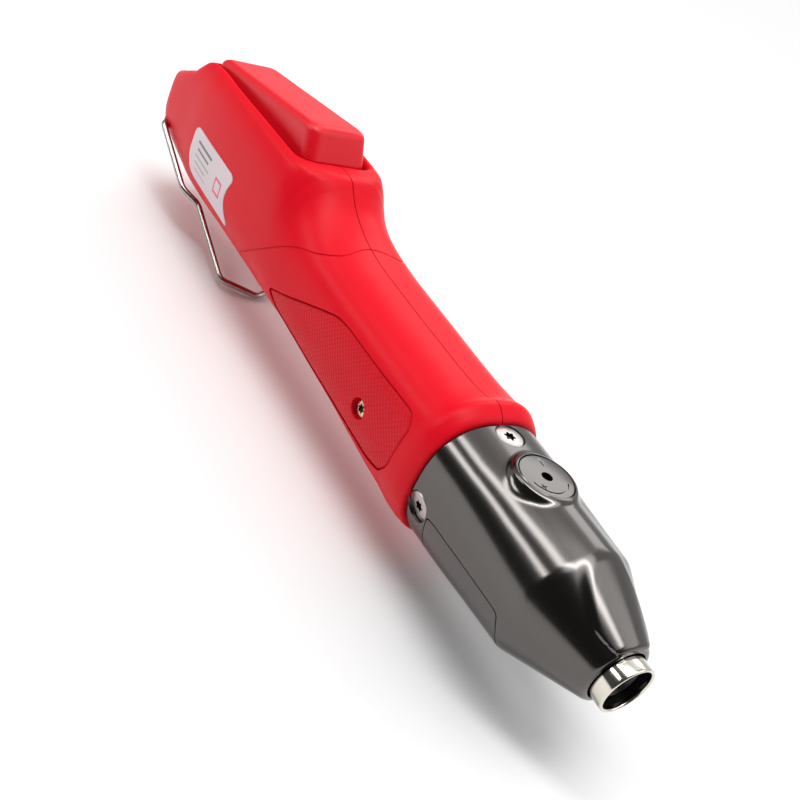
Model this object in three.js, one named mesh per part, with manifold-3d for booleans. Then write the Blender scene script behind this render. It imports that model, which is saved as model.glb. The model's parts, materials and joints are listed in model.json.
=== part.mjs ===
// In-line strapping-tool driver: red two-half housing, metal gear head, lever start, wire bail.
// Axis frame while modelling: X forward to the nose rim at x = 0, Z up to the lever, Y to the left.
import * as THREE from "three";
import { mergeVertices } from "three/addons/utils/BufferGeometryUtils.js";
import Module from "manifold-3d";

const wasm = await Module();
wasm.setup();

// ---- driving dimensions, mm ----
const SEAM = 0.15; // half of the gap between the two housing halves
const SIDES = 28; // facets round the housing and the head
const FINE = 0.6; // share of the full facet count of round pieces
const X_JOINT = -71.8; // rear face of the metal head
const X_MOUTH = -4.6; // front face of the metal head
const X_TAIL = -272.6; // rear end of the housing
const SLEEVE_R = 7.65;
const SLEEVE_LENGTH = 14;
const SLEEVE_TRAVEL = 4;
const SPINDLE_R = 5.4;
const HEX_FLATS = 6.45;
const HEAD_BORE_R = 13.6;
const DIAL_X = -51;
const DIAL_Z = 19.3;
const DIAL_R = 7.9;
const ADJUST_OFFSET = 1.6; // eccentric pin from the adjuster's axis
const MODULE = 0.55;
const SUN_TEETH = 12;
const PLANET_TEETH = 15;
const RING_TEETH = 42;
const GEAR_BACK = -70;
const GEAR_FRONT = -63.2;
const PLANET_CENTRE_R = ((SUN_TEETH + PLANET_TEETH) * MODULE) / 2;
const MOTOR_R = 13.4;
const MOTOR_BACK = -124;
const MOTOR_FRONT = -76;
const HEAD_SCREW_X = -67.4;
const HEAD_SCREW_R = 4.2;
const HEAD_SCREW_ANGLE = 109; // side screws from the top, degrees
const LEVER_PIVOT = [-245, 21.5];
const LEVER_HALF = 11.4;
const WELL_FLOOR = 14.2;
const SWITCH_X = -203;
const LEVER_SPRING_X = -189;
const BAIL_PIVOT = [-265, -6.6];
const BAIL_HALF = 17.2;
const BAIL_WIRE_R = 1.1;
const BAIL_OPEN = 19; // degrees below the tool's axis
const BAIL_ARM = 31;
const BAIL_JOG = 6.3;
const BAIL_JOG_HALF = 12.8;
const BAIL_LOWER_ARM = 32.5;
const BAIL_TIP = 6;
const PAD_DEPTH = 1.1;
const PAD_PROUD = 0.25;
const LABEL_DEPTH = 0.5;
const LABEL_PROUD = 0.32;
const COVER_DEPTH = 1.7;
const BED_GAP = 0.15; // clearance under a pad, the label and the cover
const GROOVE = 0.3; // clearance round a pad
const EDGE_GAP = 0.2; // clearance round the label and the cover

// ---- colours ----
const RED = [0xd2141f, 0.38, 0];
const RED_GRIP = [0xb81a25, 0.72, 0];
const GUNMETAL = [0x57524e, 0.16, 1];
const NICKEL = [0xc9c2b4, 0.2, 1];
const ZINC = [0xb4afa6, 0.34, 1];
const STEEL = [0xa5a7aa, 0.3, 1];
const DARK_STEEL = [0x4a4c50, 0.45, 1];
const BRASS = [0xc3a467, 0.3, 1];
const PAPER = [0xe6e2e3, 0.55, 0];
const GREEN = [0x1f6b3c, 0.5, 0];
const BLACK = [0x1c1c1e, 0.5, 0];
const COPPER = [0xb36a3c, 0.35, 1];

// ---- solids ----
function solid(geometry) {
  const bare = new THREE.BufferGeometry();
  const flat = geometry.index ? geometry.toNonIndexed() : geometry;
  bare.setAttribute("position", flat.getAttribute("position").clone());
  const merged = mergeVertices(bare, 1e-3);
  const p = merged.attributes.position.array;
  const i = new Uint32Array(merged.index.array);
  let volume = 0;
  const a = new THREE.Vector3();
  const b = new THREE.Vector3();
  const c = new THREE.Vector3();
  for (let k = 0; k < i.length; k += 3) {
    a.fromArray(p, 3 * i[k]);
    b.fromArray(p, 3 * i[k + 1]);
    c.fromArray(p, 3 * i[k + 2]);
    volume += a.dot(b.cross(c));
  }
  if (volume < 0) {
    for (let k = 0; k < i.length; k += 3) [i[k], i[k + 1]] = [i[k + 1], i[k]];
  }
  const keep = [];
  for (let k = 0; k < i.length; k += 3) {
    if (i[k] === i[k + 1] || i[k + 1] === i[k + 2] || i[k] === i[k + 2]) continue;
    keep.push(i[k], i[k + 1], i[k + 2]);
  }
  return new wasm.Manifold(
    new wasm.Mesh({ numProp: 3, vertProperties: new Float32Array(p), triVerts: new Uint32Array(keep) }),
  );
}

const turn = (g, ax, deg) => g.applyMatrix4(
  new THREE.Matrix4().makeRotationAxis(new THREE.Vector3(...ax), THREE.MathUtils.degToRad(deg)),
);
const shift = (g, x, y, z) => g.translate(x, y, z);

// A solid of revolution about X through (0, y, z); profile is [x, r] pairs.
function latheX(profile, n = 36, y = 0, z = 0, closed = false) {
  const pts = profile.map(([x, r]) => new THREE.Vector2(r, x));
  if (closed) pts.push(pts[0].clone());
  const g = new THREE.LatheGeometry(pts, Math.round(n * FINE));
  turn(g, [0, 0, 1], -90);
  return solid(shift(g, 0, y, z));
}

// A solid of revolution about Z through (x, y); profile is [z, r] pairs.
function latheZ(profile, n, x, y) {
  const g = new THREE.LatheGeometry(profile.map(([z, r]) => new THREE.Vector2(r, z)), Math.round(n * FINE));
  turn(g, [1, 0, 0], 90);
  return solid(shift(g, x, y, 0));
}

// A solid of revolution about Y through (x, z); profile is [y, r] pairs.
function latheY(profile, n, x, z, closed = false) {
  const pts = profile.map(([y, r]) => new THREE.Vector2(r, y));
  if (closed) pts.push(pts[0].clone());
  return solid(shift(new THREE.LatheGeometry(pts, Math.round(n * FINE)), x, 0, z));
}

const rodX = (x0, x1, r, n = 24, y = 0, z = 0) => latheX([[x0, 0], [x0, r], [x1, r], [x1, 0]], n, y, z);
const rodY = (y0, y1, r, x, z, n = 20) => latheY([[y0, 0], [y0, r], [y1, r], [y1, 0]], n, x, z);
const rodZ = (z0, z1, r, x, y, n = 24) => latheZ([[z0, 0], [z0, r], [z1, r], [z1, 0]], n, x, y);
const tubeX = (x0, x1, ri, ro, n = 28, y = 0, z = 0) =>
  latheX([[x0, ri], [x0, ro], [x1, ro], [x1, ri]], n, y, z, true);

function block(x0, x1, y0, y1, z0, z1) {
  const g = new THREE.BoxGeometry(x1 - x0, y1 - y0, z1 - z0);
  return solid(shift(g, (x0 + x1) / 2, (y0 + y1) / 2, (z0 + z1) / 2));
}

// Rings of equal length joined into one closed body.
function skin(rings) {
  const n = rings[0].length;
  const v = [];
  const tri = (a, b, c) => v.push(...a, ...b, ...c);
  const mid = (r) => [0, 1, 2].map((k) => r.reduce((s, p) => s + p[k], 0) / r.length);
  for (let i = 0; i + 1 < rings.length; i++) {
    for (let j = 0; j < n; j++) {
      const k = (j + 1) % n;
      tri(rings[i][j], rings[i][k], rings[i + 1][k]);
      tri(rings[i][j], rings[i + 1][k], rings[i + 1][j]);
    }
  }
  const first = mid(rings[0]);
  const last = mid(rings[rings.length - 1]);
  for (let j = 0; j < n; j++) {
    const k = (j + 1) % n;
    tri(first, rings[0][k], rings[0][j]);
    tri(last, rings[rings.length - 1][j], rings[rings.length - 1][k]);
  }
  const g = new THREE.BufferGeometry();
  g.setAttribute("position", new THREE.BufferAttribute(new Float32Array(v), 3));
  return solid(g);
}

// A table row is [x, half width, top, bottom, widest height, upper exponent, lower exponent].
function section(row, n, grow) {
  const [x, w, top, bottom, mid, eu, el] = row;
  const ring = [];
  for (let k = 0; k < n; k++) {
    const t = (2 * Math.PI * k) / n;
    const c = Math.cos(t);
    const s = Math.sin(t);
    const e = s >= 0 ? eu : el;
    const h = s >= 0 ? top + grow - mid : mid - bottom + grow;
    ring.push([
      x,
      (w + grow) * Math.sign(c) * Math.abs(c) ** (2 / e),
      mid + h * Math.sign(s) * Math.abs(s) ** (2 / e),
    ]);
  }
  return ring;
}
const loft = (table, n = 40, grow = 0) => skin(table.map((row) => section(row, n, grow)));

// A flat outline in X and Z pushed from y0 to y1.
function plateY(outline, y0, y1) {
  const s = new THREE.Shape(outline.map(([x, z]) => new THREE.Vector2(x, z)));
  const g = new THREE.ExtrudeGeometry(s, { depth: Math.abs(y1 - y0), bevelEnabled: false });
  turn(g, [1, 0, 0], 90);
  return solid(shift(g, 0, Math.max(y0, y1), 0));
}

// A flat outline in Y and Z pushed from x0 to x1.
function plateX(outline, x0, x1) {
  const s = new THREE.Shape(outline.map(([y, z]) => new THREE.Vector2(y, z)));
  const g = new THREE.ExtrudeGeometry(s, { depth: x1 - x0, bevelEnabled: false });
  turn(g, [0, 0, 1], 90);
  turn(g, [0, 1, 0], 90);
  return solid(shift(g, x0, 0, 0));
}

// A round wire of radius r along a list of points.
function wire(points, r, sides = 8) {
  const p = points.map((q) => new THREE.Vector3(...q));
  const dir = p.map((q, i) => {
    const a = p[Math.max(i - 1, 0)];
    const b = p[Math.min(i + 1, p.length - 1)];
    return b.clone().sub(a).normalize();
  });
  let up = Math.abs(dir[0].z) < 0.9 ? new THREE.Vector3(0, 0, 1) : new THREE.Vector3(1, 0, 0);
  const rings = p.map((q, i) => {
    const side = dir[i].clone().cross(up).normalize();
    up = side.clone().cross(dir[i]).normalize();
    return Array.from({ length: sides }, (_, k) => {
      const t = (2 * Math.PI * k) / sides;
      const o = side.clone().multiplyScalar(r * Math.cos(t)).addScaledVector(up, r * Math.sin(t));
      return q.clone().add(o).toArray();
    });
  });
  return skin(rings);
}

// Rounds the corners of a polyline.
function rounded(points, r, steps = 4) {
  const p = points.map((q) => new THREE.Vector3(...q));
  const out = [p[0].toArray()];
  for (let i = 1; i + 1 < p.length; i++) {
    const a = p[i - 1].clone().sub(p[i]).normalize().multiplyScalar(r).add(p[i]);
    const b = p[i + 1].clone().sub(p[i]).normalize().multiplyScalar(r).add(p[i]);
    const curve = new THREE.QuadraticBezierCurve3(a, p[i], b);
    curve.getPoints(steps).forEach((q) => out.push(q.toArray()));
  }
  out.push(p[p.length - 1].toArray());
  return out;
}

// A coil about X (axis 0) or Z (axis 2) through the given centre.
function coil(axis, from, to, radius, wireR, turns, cx, cy, sides = 5, perTurn = 9) {
  const n = Math.round(turns * perTurn);
  const pts = [];
  for (let i = 0; i <= n; i++) {
    const t = (2 * Math.PI * turns * i) / n;
    const s = from + wireR + ((to - from - 2 * wireR) * i) / n;
    const a = cx + radius * Math.cos(t);
    const b = cy + radius * Math.sin(t);
    pts.push(axis === 0 ? [s, a, b] : [a, b, s]);
  }
  return wire(pts, wireR, sides);
}

// Gear outline in Y and Z; inner true gives the toothed hole of a ring gear.
function gearOutline(teeth, inner, turnBy = 0) {
  const rp = (teeth * MODULE) / 2;
  const add = inner ? -0.85 * MODULE : 0.9 * MODULE;
  const ded = inner ? 1.2 * MODULE : -1.2 * MODULE;
  const pitch = (2 * Math.PI) / teeth;
  const out = [];
  for (let i = 0; i < teeth; i++) {
    const a = i * pitch + turnBy;
    for (const [r, f] of [[rp + ded, -0.33], [rp + add, -0.12], [rp + add, 0.12], [rp + ded, 0.33]]) {
      out.push([r * Math.cos(a + f * pitch), r * Math.sin(a + f * pitch)]);
    }
  }
  return out;
}

// Regular polygon or star with alternating radii, in Y and Z or X and Y by the caller.
const star = (n, r0, r1) => Array.from({ length: 2 * n }, (_, k) => {
  const t = (Math.PI * k) / n;
  const r = k % 2 ? r1 : r0;
  return [r * Math.cos(t), r * Math.sin(t)];
});
const hexagon = (flats) => Array.from({ length: 6 }, (_, k) => {
  const t = (Math.PI * k) / 3;
  return [(flats / Math.sqrt(3)) * Math.cos(t), (flats / Math.sqrt(3)) * Math.sin(t)];
});

// A countersunk six-lobe screw made along +Z with its head's face at z = 0.
function screwGeometry(headR, headDepth, shankR, length, recess) {
  const g = new THREE.LatheGeometry(
    [[0, 0], [headR - 0.15, 0], [headR, -0.25], [shankR, -headDepth], [shankR, -length], [0, -length]]
      .map(([r, z]) => new THREE.Vector2(r, z)),
    16,
  );
  turn(g, [1, 0, 0], 90);
  const s = new THREE.Shape(star(6, recess, recess * 0.68).map(([a, b]) => new THREE.Vector2(a, b)));
  const cut = new THREE.ExtrudeGeometry(s, { depth: 2, bevelEnabled: false });
  cut.translate(0, 0, -headDepth * 0.62);
  return solid(g).subtract(solid(cut));
}

// Moves a solid by a matrix.
function placed(s, matrix) {
  const m = s.getMesh();
  const v = new Float32Array(m.numVert * 3);
  for (let k = 0; k < m.numVert; k++) {
    const q = new THREE.Vector3(
      m.vertProperties[k * m.numProp],
      m.vertProperties[k * m.numProp + 1],
      m.vertProperties[k * m.numProp + 2],
    ).applyMatrix4(matrix);
    v.set(q.toArray(), 3 * k);
  }
  return new wasm.Manifold(new wasm.Mesh({ numProp: 3, vertProperties: v, triVerts: m.triVerts }));
}
const radial = (angle, x, r) => new THREE.Matrix4().makeTranslation(x, 0, 0).multiply(
  new THREE.Matrix4().makeRotationX(THREE.MathUtils.degToRad(angle)),
).multiply(new THREE.Matrix4().makeTranslation(0, 0, r));

// ---- the assembly ----
const group = new THREE.Group();
function part(name, s, [colour, roughness, metalness]) {
  const m = s.getMesh();
  const v = new Float32Array(m.numVert * 3);
  for (let k = 0; k < m.numVert; k++) {
    for (let j = 0; j < 3; j++) v[3 * k + j] = m.vertProperties[k * m.numProp + j];
  }
  const g = new THREE.BufferGeometry();
  g.setAttribute("position", new THREE.BufferAttribute(v, 3));
  g.setIndex(new THREE.BufferAttribute(new Uint32Array(m.triVerts), 1));
  g.computeVertexNormals();
  const mesh = new THREE.Mesh(g, new THREE.MeshStandardMaterial({ color: colour, roughness, metalness }));
  mesh.name = name;
  group.add(mesh);
}

// Housing skin, from the collar at the metal head to the tail.
const BODY = [
  [X_JOINT, 19.4, 18.9, -22.4, 0, 2.5, 2.4],
  [-73.6, 19.9, 20.3, -22.8, 0, 2.5, 2.4],
  [-76.6, 20.2, 21.5, -23.1, 0, 2.5, 2.4],
  [-80.5, 20.0, 20.0, -22.9, 0, 2.6, 2.5],
  [-85, 19.7, 19.1, -22.5, 0, 2.8, 2.5],
  [-96, 19.5, 18.6, -21.5, 0, 2.8, 2.6],
  [-118, 19.5, 18.4, -19.3, 0, 2.9, 2.6],
  [-138, 19.5, 18.5, -17.6, 0, 2.9, 2.7],
  [-147, 19.6, 19.2, -16.9, 0, 2.8, 2.7],
  [-153, 19.7, 20.3, -16.6, 0.6, 2.6, 2.7],
  [-158, 19.8, 21.9, -16.5, 1.2, 2.4, 2.7],
  [-163, 20.0, 24.0, -16.5, 2.0, 2.3, 2.8],
  [-167.5, 20.1, 27.2, -16.5, 3.0, 2.25, 2.9],
  [-171, 20.2, 30.6, -16.5, 4.0, 2.3, 2.9],
  [-174, 20.2, 32.6, -16.6, 5.0, 2.6, 3.0],
  [-179, 20.2, 34.2, -16.7, 6.0, 3.0, 3.0],
  [-190, 20.2, 34.6, -16.8, 6.0, 3.2, 3.0],
  [-205, 20.0, 34.5, -17.1, 6.0, 3.2, 3.0],
  [-222, 19.6, 33.6, -17.9, 6.0, 3.1, 3.0],
  [-238, 18.8, 31.9, -18.3, 5.5, 3.0, 3.0],
  [-250, 17.6, 30.4, -17.4, 5.0, 3.0, 3.0],
  [-262, 16.6, 26.0, -15.6, 4.0, 3.0, 3.0],
  [-269, 15.9, 20.0, -13.6, 3.0, 3.0, 3.0],
  [-271.6, 14.9, 18.0, -12.2, 3.0, 3.0, 3.0],
  [X_TAIL, 13.4, 16.0, -10.6, 3.0, 3.0, 3.0],
];
const ROOF = [
  [-60, 60], [-60, -40], [-290, -40], [-290, 9.4], [-272.5, 11.6], [-262, 16.2], [-257.8, 18.6],
  [-255.2, 22], [-252.6, 25.2], [-249.5, 26.7], [-228, 28.0], [-204, 29.4], [-179, 29.8], [-171, 30.1],
  [-160, 60],
];
const roof = plateY(ROOF, -30, 30);
const skinOuter = loft(BODY, SIDES);

const CAVITY = [
  [-80, 15.9, 15.7, -15.9, 0, 2, 2],
  [-84, 16.9, 16.0, -18.0, 0, 2.6, 2.6],
  [-118, 17.0, 15.9, -16.9, 0, 2.7, 2.7],
  [-150, 17.2, 15.9, -14.3, 0, 2.8, 2.8],
  [-164, 17.5, 14.6, -14.1, 0, 3, 2.8],
  [-174, 17.7, 11.9, -14.2, 0, 4, 3],
  [-205, 17.5, 11.9, -14.7, 0, 4, 3],
  [-238, 16.2, 11.9, -15.8, 1, 4, 3],
  [-258, 14.4, 11.4, -13.6, 1.5, 3.4, 3],
  [-269.4, 13.0, 9.5, -10.6, 1.5, 3, 3],
];
const cavity = loft(CAVITY, 16).add(rodX(-80.6, X_JOINT + 1, 15.8, 40));

// Lever well: narrow floor, wider mouth, with the rim of the housing round it.
const WELL_TOP = [
  [-179.7, 6.5], [-180.2, 10.4], [-183.4, 13.3], [-192, 14.6], [-208, 14.9], [-226, 13.9], [-242, 12.2],
  [-252.4, 11.9],
];
const WELL_LOW = [
  [-179.7, 6.5], [-180.2, 10.4], [-182, 12.2], [-192, 12.3], [-208, 12.3], [-226, 12.2], [-242, 12.1],
  [-252.4, 11.9],
];
const wellRing = (side, z) => [
  ...side.map(([x, y]) => [x, y, z]),
  ...side.slice().reverse().map(([x, y]) => [x, -y, z]),
];
const well = skin([wellRing(WELL_LOW, WELL_FLOOR), wellRing(WELL_TOP, 36)]);

// Grip pads: thin inlays on both flanks of the neck; the outline is in X and Z.
const PAD = [
  [-162.5, -6.4], [-151, -1.4], [-136, 5.6], [-128, 9.0], [-122, 9.8], [-101, 10.0], [-84.5, 10.8],
  [-81.6, 7.8], [-82.4, -6.2], [-86, -11.0], [-93, -12.6], [-131, -12.2], [-158, -10.4],
];

// Every corner of an outline moved sideways by a distance.
function widened(outline, by) {
  const n = outline.length;
  return outline.map(([x, z], k) => {
    const [x0, z0] = outline[(k + n - 1) % n];
    const [x1, z1] = outline[(k + 1) % n];
    const d = Math.hypot(x1 - x0, z1 - z0);
    return [x + (by * (z0 - z1)) / d, z + (by * (x1 - x0)) / d];
  });
}

function area(outline) {
  const twice = outline.reduce((sum, [x, z], k) => {
    const [x1, z1] = outline[(k + 1) % outline.length];
    return sum + x * z1 - x1 * z;
  }, 0);
  return Math.abs(twice) / 2;
}

// The outline moved outwards all round.
function grown(outline, by) {
  const one = widened(outline, by);
  return area(one) > area(outline) ? one : widened(outline, -by);
}

const padSkin = (grow) => loft(BODY.slice(2, 14), SIDES, grow);
const padInside = (depth) => loft(BODY.slice(1, 15), SIDES, -depth);
const padBand = padSkin(PAD_PROUD).subtract(padInside(PAD_DEPTH));
const padRoom = padSkin(1.5).subtract(padInside(PAD_DEPTH + BED_GAP));
const PAD_SCREW = [-102.6, -3.5];
const padHole = rodY(-30, 30, 3.3, PAD_SCREW[0], PAD_SCREW[1], 24);

// Label inlay on the right flank of the rear body.
const LABEL = [
  [-237.2, 6.6], [-235, 8], [-203.4, 8.4], [-201.8, 7], [-203.6, 3], [-204, -1], [-202, -4.6],
  [-198.6, -7.4], [-199.6, -8.6], [-232, -8.4], [-234.8, -7.4], [-237.4, -2],
];
const labelSkin = (grow) => loft(BODY.slice(14, 21), SIDES, grow);
const labelInside = (depth) => loft(BODY.slice(13, 22), SIDES, -depth);
const labelBand = labelSkin(LABEL_PROUD).subtract(labelInside(LABEL_DEPTH));
const labelRoom = labelSkin(2).subtract(labelInside(LABEL_DEPTH + BED_GAP));

const MIRROR = new THREE.Matrix4().makeScale(1, -1, 1);
function mirrored(s) {
  const m = s.getMesh();
  const g = new THREE.BufferGeometry();
  const v = new Float32Array(m.numVert * 3);
  for (let k = 0; k < m.numVert; k++) {
    for (let j = 0; j < 3; j++) v[3 * k + j] = m.vertProperties[k * m.numProp + j];
  }
  g.setAttribute("position", new THREE.BufferAttribute(v, 3));
  g.setIndex(new THREE.BufferAttribute(new Uint32Array(m.triVerts), 1));
  return solid(g.applyMatrix4(MIRROR));
}

// Bosses inside the right half, drilled for the screws that close the housing.
const TAIL_SCREW = [-256, 2];
const MID_SCREW = [-166, -10.6];

const tailHole = rodX(X_TAIL - 3, -262, 6.2, 28, 0, 1.5);
const bailHole = rodY(-22, 22, 2.45, BAIL_PIVOT[0], BAIL_PIVOT[1], 20);
const leverPinHole = rodY(-15.2, 15.2, 1.6, LEVER_PIVOT[0], LEVER_PIVOT[1], 16);
const plungerHole = rodZ(11, 17, 2.35, SWITCH_X, 0, 20);

const housing = skinOuter
  .intersect(roof)
  .subtract(cavity)
  .subtract(well)
  .subtract(tailHole)
  .subtract(bailHole)
  .subtract(leverPinHole)
  .subtract(plungerHole);

const padCutRight = padRoom.intersect(plateY(grown(PAD, GROOVE), -30, -5));
const labelCut = labelRoom.intersect(plateY(grown(LABEL, EDGE_GAP), -30, -5));
const rightHalf = block(-300, 0, -40, -SEAM, -60, 60);

// Screw posts: a post in each half, meeting at the seam, with a seat on the left and a pilot on the right.
const SCREW_HOLE_R = 1.35;
const SCREW_SINK_R = 2.75;
const POST_R = 3.4;
const post = ([x, z]) => rodY(-18, 18, POST_R, x, z, 20).intersect(loft(BODY, SIDES, -1));
const pilot = ([x, z]) => rodY(-9, 0, SCREW_HOLE_R, x, z, 16);
const screwSeat = ([x, z], depth) => latheY([
  [0, 0], [0, SCREW_HOLE_R], [depth - 2, SCREW_HOLE_R], [depth - 1, SCREW_SINK_R],
  [depth + 12, SCREW_SINK_R], [depth + 12, 0],
], 20, x, z);
const shell = housing.add(post(TAIL_SCREW)).add(post(MID_SCREW));

const right = shell
  .intersect(rightHalf)
  .subtract(padCutRight)
  .subtract(labelCut)
  .subtract(rodY(-30, -5, 2.9, PAD_SCREW[0], PAD_SCREW[1], 24))
  .subtract(pilot(TAIL_SCREW))
  .subtract(pilot(MID_SCREW));
const left = shell
  .intersect(mirrored(rightHalf))
  .subtract(mirrored(padCutRight))
  .subtract(screwSeat(TAIL_SCREW, 12))
  .subtract(screwSeat(MID_SCREW, 13));
part("housing_right", right, RED);
part("housing_left", left, RED);

const pad = padBand.intersect(plateY(PAD, -30, -5));
part("grip_pad_right", pad.subtract(padHole), RED_GRIP);
part("grip_pad_left", mirrored(pad), RED_GRIP);
part("rating_label", labelBand.intersect(plateY(LABEL, -30, -5)), PAPER);

// Housing screws: head radius, head depth, shank radius, length, recess radius.
const GRIP_SCREW_SIZE = [2.65, 1.2, 1.3, 2.9, 1.5];
const CASE_SCREW_SIZE = [2.5, 1.4, 1.2, 17, 1.35];
const alongY = (side, x, y, z) => new THREE.Matrix4().makeTranslation(x, y, z).multiply(
  new THREE.Matrix4().makeRotationX(side > 0 ? -Math.PI / 2 : Math.PI / 2),
);
const gripScrew = screwGeometry(...GRIP_SCREW_SIZE);
const caseScrew = screwGeometry(...CASE_SCREW_SIZE);
part("grip_screw", placed(gripScrew, alongY(-1, PAD_SCREW[0], -17.9, PAD_SCREW[1])), BRASS);
part("tail_screw", placed(caseScrew, alongY(1, TAIL_SCREW[0], 12.2, TAIL_SCREW[1])), ZINC);
part("mid_screw", placed(caseScrew, alongY(1, MID_SCREW[0], 13.2, MID_SCREW[1])), ZINC);

// Metal head: near-round barrel, raised boss with a ridge in front of it, cone to the mouth.
const HEAD = [
  [X_JOINT + 0.1, 18.6, 18.2, -22.6, 0, 2.5, 2.2],
  [-60, 18.6, 18.2, -22.0, 0, 2.5, 2.2],
  [-44, 18.5, 18.2, -21.1, 0, 2.3, 2.1],
  [-29, 18.5, 18.3, -20.0, 0, 2.08, 2.02],
  [-25.5, 18.3, 18.2, -18.6, 0, 2.02, 2],
  [-22, 16.9, 16.9, -17.0, 0, 2, 2],
  [-15, 13.9, 13.9, -13.9, 0, 2, 2],
  [-6, 10.1, 10.1, -10.1, 0, 2, 2],
  [-5, 9.5, 9.5, -9.5, 0, 2, 2],
  [X_MOUTH, 8.9, 8.9, -8.9, 0, 2, 2],
];
const RIDGE = [
  [-60.5, 4.2, 18.0, 8, 10, 2, 2],
  [-56, 7.0, 19.0, 8, 10, 2.2, 2],
  [-50, 7.9, 19.2, 8, 10, 2.4, 2],
  [-34, 8.0, 19.2, 8, 10, 2.4, 2],
  [-29.5, 7.8, 18.8, 8, 10, 2.4, 2],
  [-24, 6.4, 17.4, 8, 10, 2.2, 2],
];
const boss = latheZ([
  [8, 0], [8, 10.6], [15.5, 10.4], [17.6, 9.5], [18.9, 8.9], [DIAL_Z - 0.05, 8.5], [DIAL_Z - 0.05, 0],
], 36, DIAL_X, 0);
const headBore = latheX([
  [X_JOINT - 1, 0], [X_JOINT - 1, 15.8], [-59.5, 15.8], [-59.5, HEAD_BORE_R], [-44, HEAD_BORE_R],
  [-42, 12], [-31, 12], [-31, 9.05], [-24.4, 9.05], [-24.4, 8.1], [0, 8.1], [0, 0],
], 40);
let head = loft(HEAD, SIDES).add(loft(RIDGE, 16)).add(boss).subtract(headBore);
head = head
  .subtract(rodZ(DIAL_Z - 1.7, 24, DIAL_R + 0.12, DIAL_X, 0, 36))
  .subtract(rodZ(15.5, 20, 4.75, DIAL_X, 0, 28))
  .subtract(rodZ(10, 20, 3.2, DIAL_X, 0, 24));
// Head screws: name, angle from the top, radius of the seat's face.
const HEAD_SCREWS = [
  ["head_screw_top", 0, 17.95],
  ["head_screw_right", HEAD_SCREW_ANGLE, 18.6],
  ["head_screw_left", -HEAD_SCREW_ANGLE, 18.6],
];
const HEAD_SCREW_SIZE = [HEAD_SCREW_R, 2.3, 2, 3.6, 2.3];
const sinkR = HEAD_SCREW_R + 0.15;
const headScrewSeat = latheZ([[-9, 0], [-9, 2.2], [-2.5, 2.2], [-0.2, sinkR], [6, sinkR], [6, 0]], 27, 0, 0);
let adapter = tubeX(-80.4, -60, 13.75, 15.6, 40);
for (const [, angle, r] of HEAD_SCREWS) {
  const cut = placed(headScrewSeat, radial(angle, HEAD_SCREW_X, r));
  head = head.subtract(cut);
  adapter = adapter.subtract(cut);
}

// Cover let into the underside of the head.
const COVER = [
  [-62.3, -5.4], [-59, -4.9], [-31, -3.8], [-29.2, -4.3], [-27.9, -9], [-27.7, -28], [-62.3, -28],
];
const coverRows = HEAD.slice(0, 6);
const PAST_ENDS = [-1, 0, 0, 0, 0, 1]; // how far the inner skin runs past the outer one
const insideRows = coverRows.map(([x, ...rest], k) => [x + PAST_ENDS[k], ...rest]);
const coverSkin = (grow) => loft(coverRows, SIDES, grow);
const coverInside = (depth) => loft(insideRows, SIDES, -depth);
const coverBand = coverSkin(-0.1).subtract(coverInside(COVER_DEPTH));
const coverRoom = coverSkin(2).subtract(coverInside(COVER_DEPTH + BED_GAP));
head = head.subtract(coverRoom.intersect(plateY(grown(COVER, EDGE_GAP), -30, 30)));
part("head_casting", head, GUNMETAL);
part("head_cover", coverBand.intersect(plateY(COVER, -30, 30)), GUNMETAL);
for (const [name, angle, r] of HEAD_SCREWS) {
  part(name, placed(screwGeometry(...HEAD_SCREW_SIZE), radial(angle, HEAD_SCREW_X, r - 0.1)), ZINC);
}
part("head_adapter", adapter, DARK_STEEL);

// Dial plate: disc with shallow minus, plus and arc marks round the adjuster's hole.
const arcPoints = (r, a0, a1, n = 10) => Array.from({ length: n + 1 }, (_, k) => {
  const t = THREE.MathUtils.degToRad(a0 + ((a1 - a0) * k) / n);
  return [r * Math.cos(t), r * Math.sin(t)];
});
const arcMark = (r0, r1, a0, a1) => [...arcPoints(r1, a0, a1), ...arcPoints(r0, a1, a0)];
const plateZ = (outline, z0, z1, x, y) => {
  const s = new THREE.Shape(outline.map(([a, b]) => new THREE.Vector2(a, b)));
  const g = new THREE.ExtrudeGeometry(s, { depth: z1 - z0, bevelEnabled: false });
  return solid(shift(g, x, y, z0));
};
const markZ = DIAL_Z - 0.25;
const MINUS = [[-1, -0.2], [1, -0.2], [1, 0.2], [-1, 0.2]];
const PLUS = [
  [-1, -0.2], [-0.2, -0.2], [-0.2, -1], [0.2, -1], [0.2, -0.2], [1, -0.2],
  [1, 0.2], [0.2, 0.2], [0.2, 1], [-0.2, 1], [-0.2, 0.2], [-1, 0.2],
];
const dial = latheZ([
  [DIAL_Z - 1.6, 0], [DIAL_Z - 1.6, DIAL_R], [DIAL_Z - 0.2, DIAL_R], [DIAL_Z, DIAL_R - 0.25], [DIAL_Z, 0],
], 36, DIAL_X, 0)
  .subtract(rodZ(10, 24, 1.6, DIAL_X, 0, 20))
  .subtract(plateZ(arcMark(5.6, 6.0, -75, 60), markZ, 24, DIAL_X, 0))
  .subtract(plateZ(MINUS, markZ, 24, DIAL_X - 4.6, 1.6))
  .subtract(plateZ(PLUS, markZ, 24, DIAL_X + 3.4, -3.6));
part("dial_plate", dial, GUNMETAL);

// Adjuster: captured stem with a hex socket and an eccentric pin under it.
const adjuster = latheZ([
  [12.9, 0], [12.9, 2.95], [15.75, 2.95], [15.75, 4.5], [17.35, 4.5], [17.35, 0],
], 24, DIAL_X, 0)
  .add(rodZ(9.7, 13.2, 1.0, DIAL_X, -ADJUST_OFFSET, 16))
  .subtract(plateZ(hexagon(2.5), 15.2, 20, DIAL_X, 0));
part("tension_adjuster", adjuster, DARK_STEEL);

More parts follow.
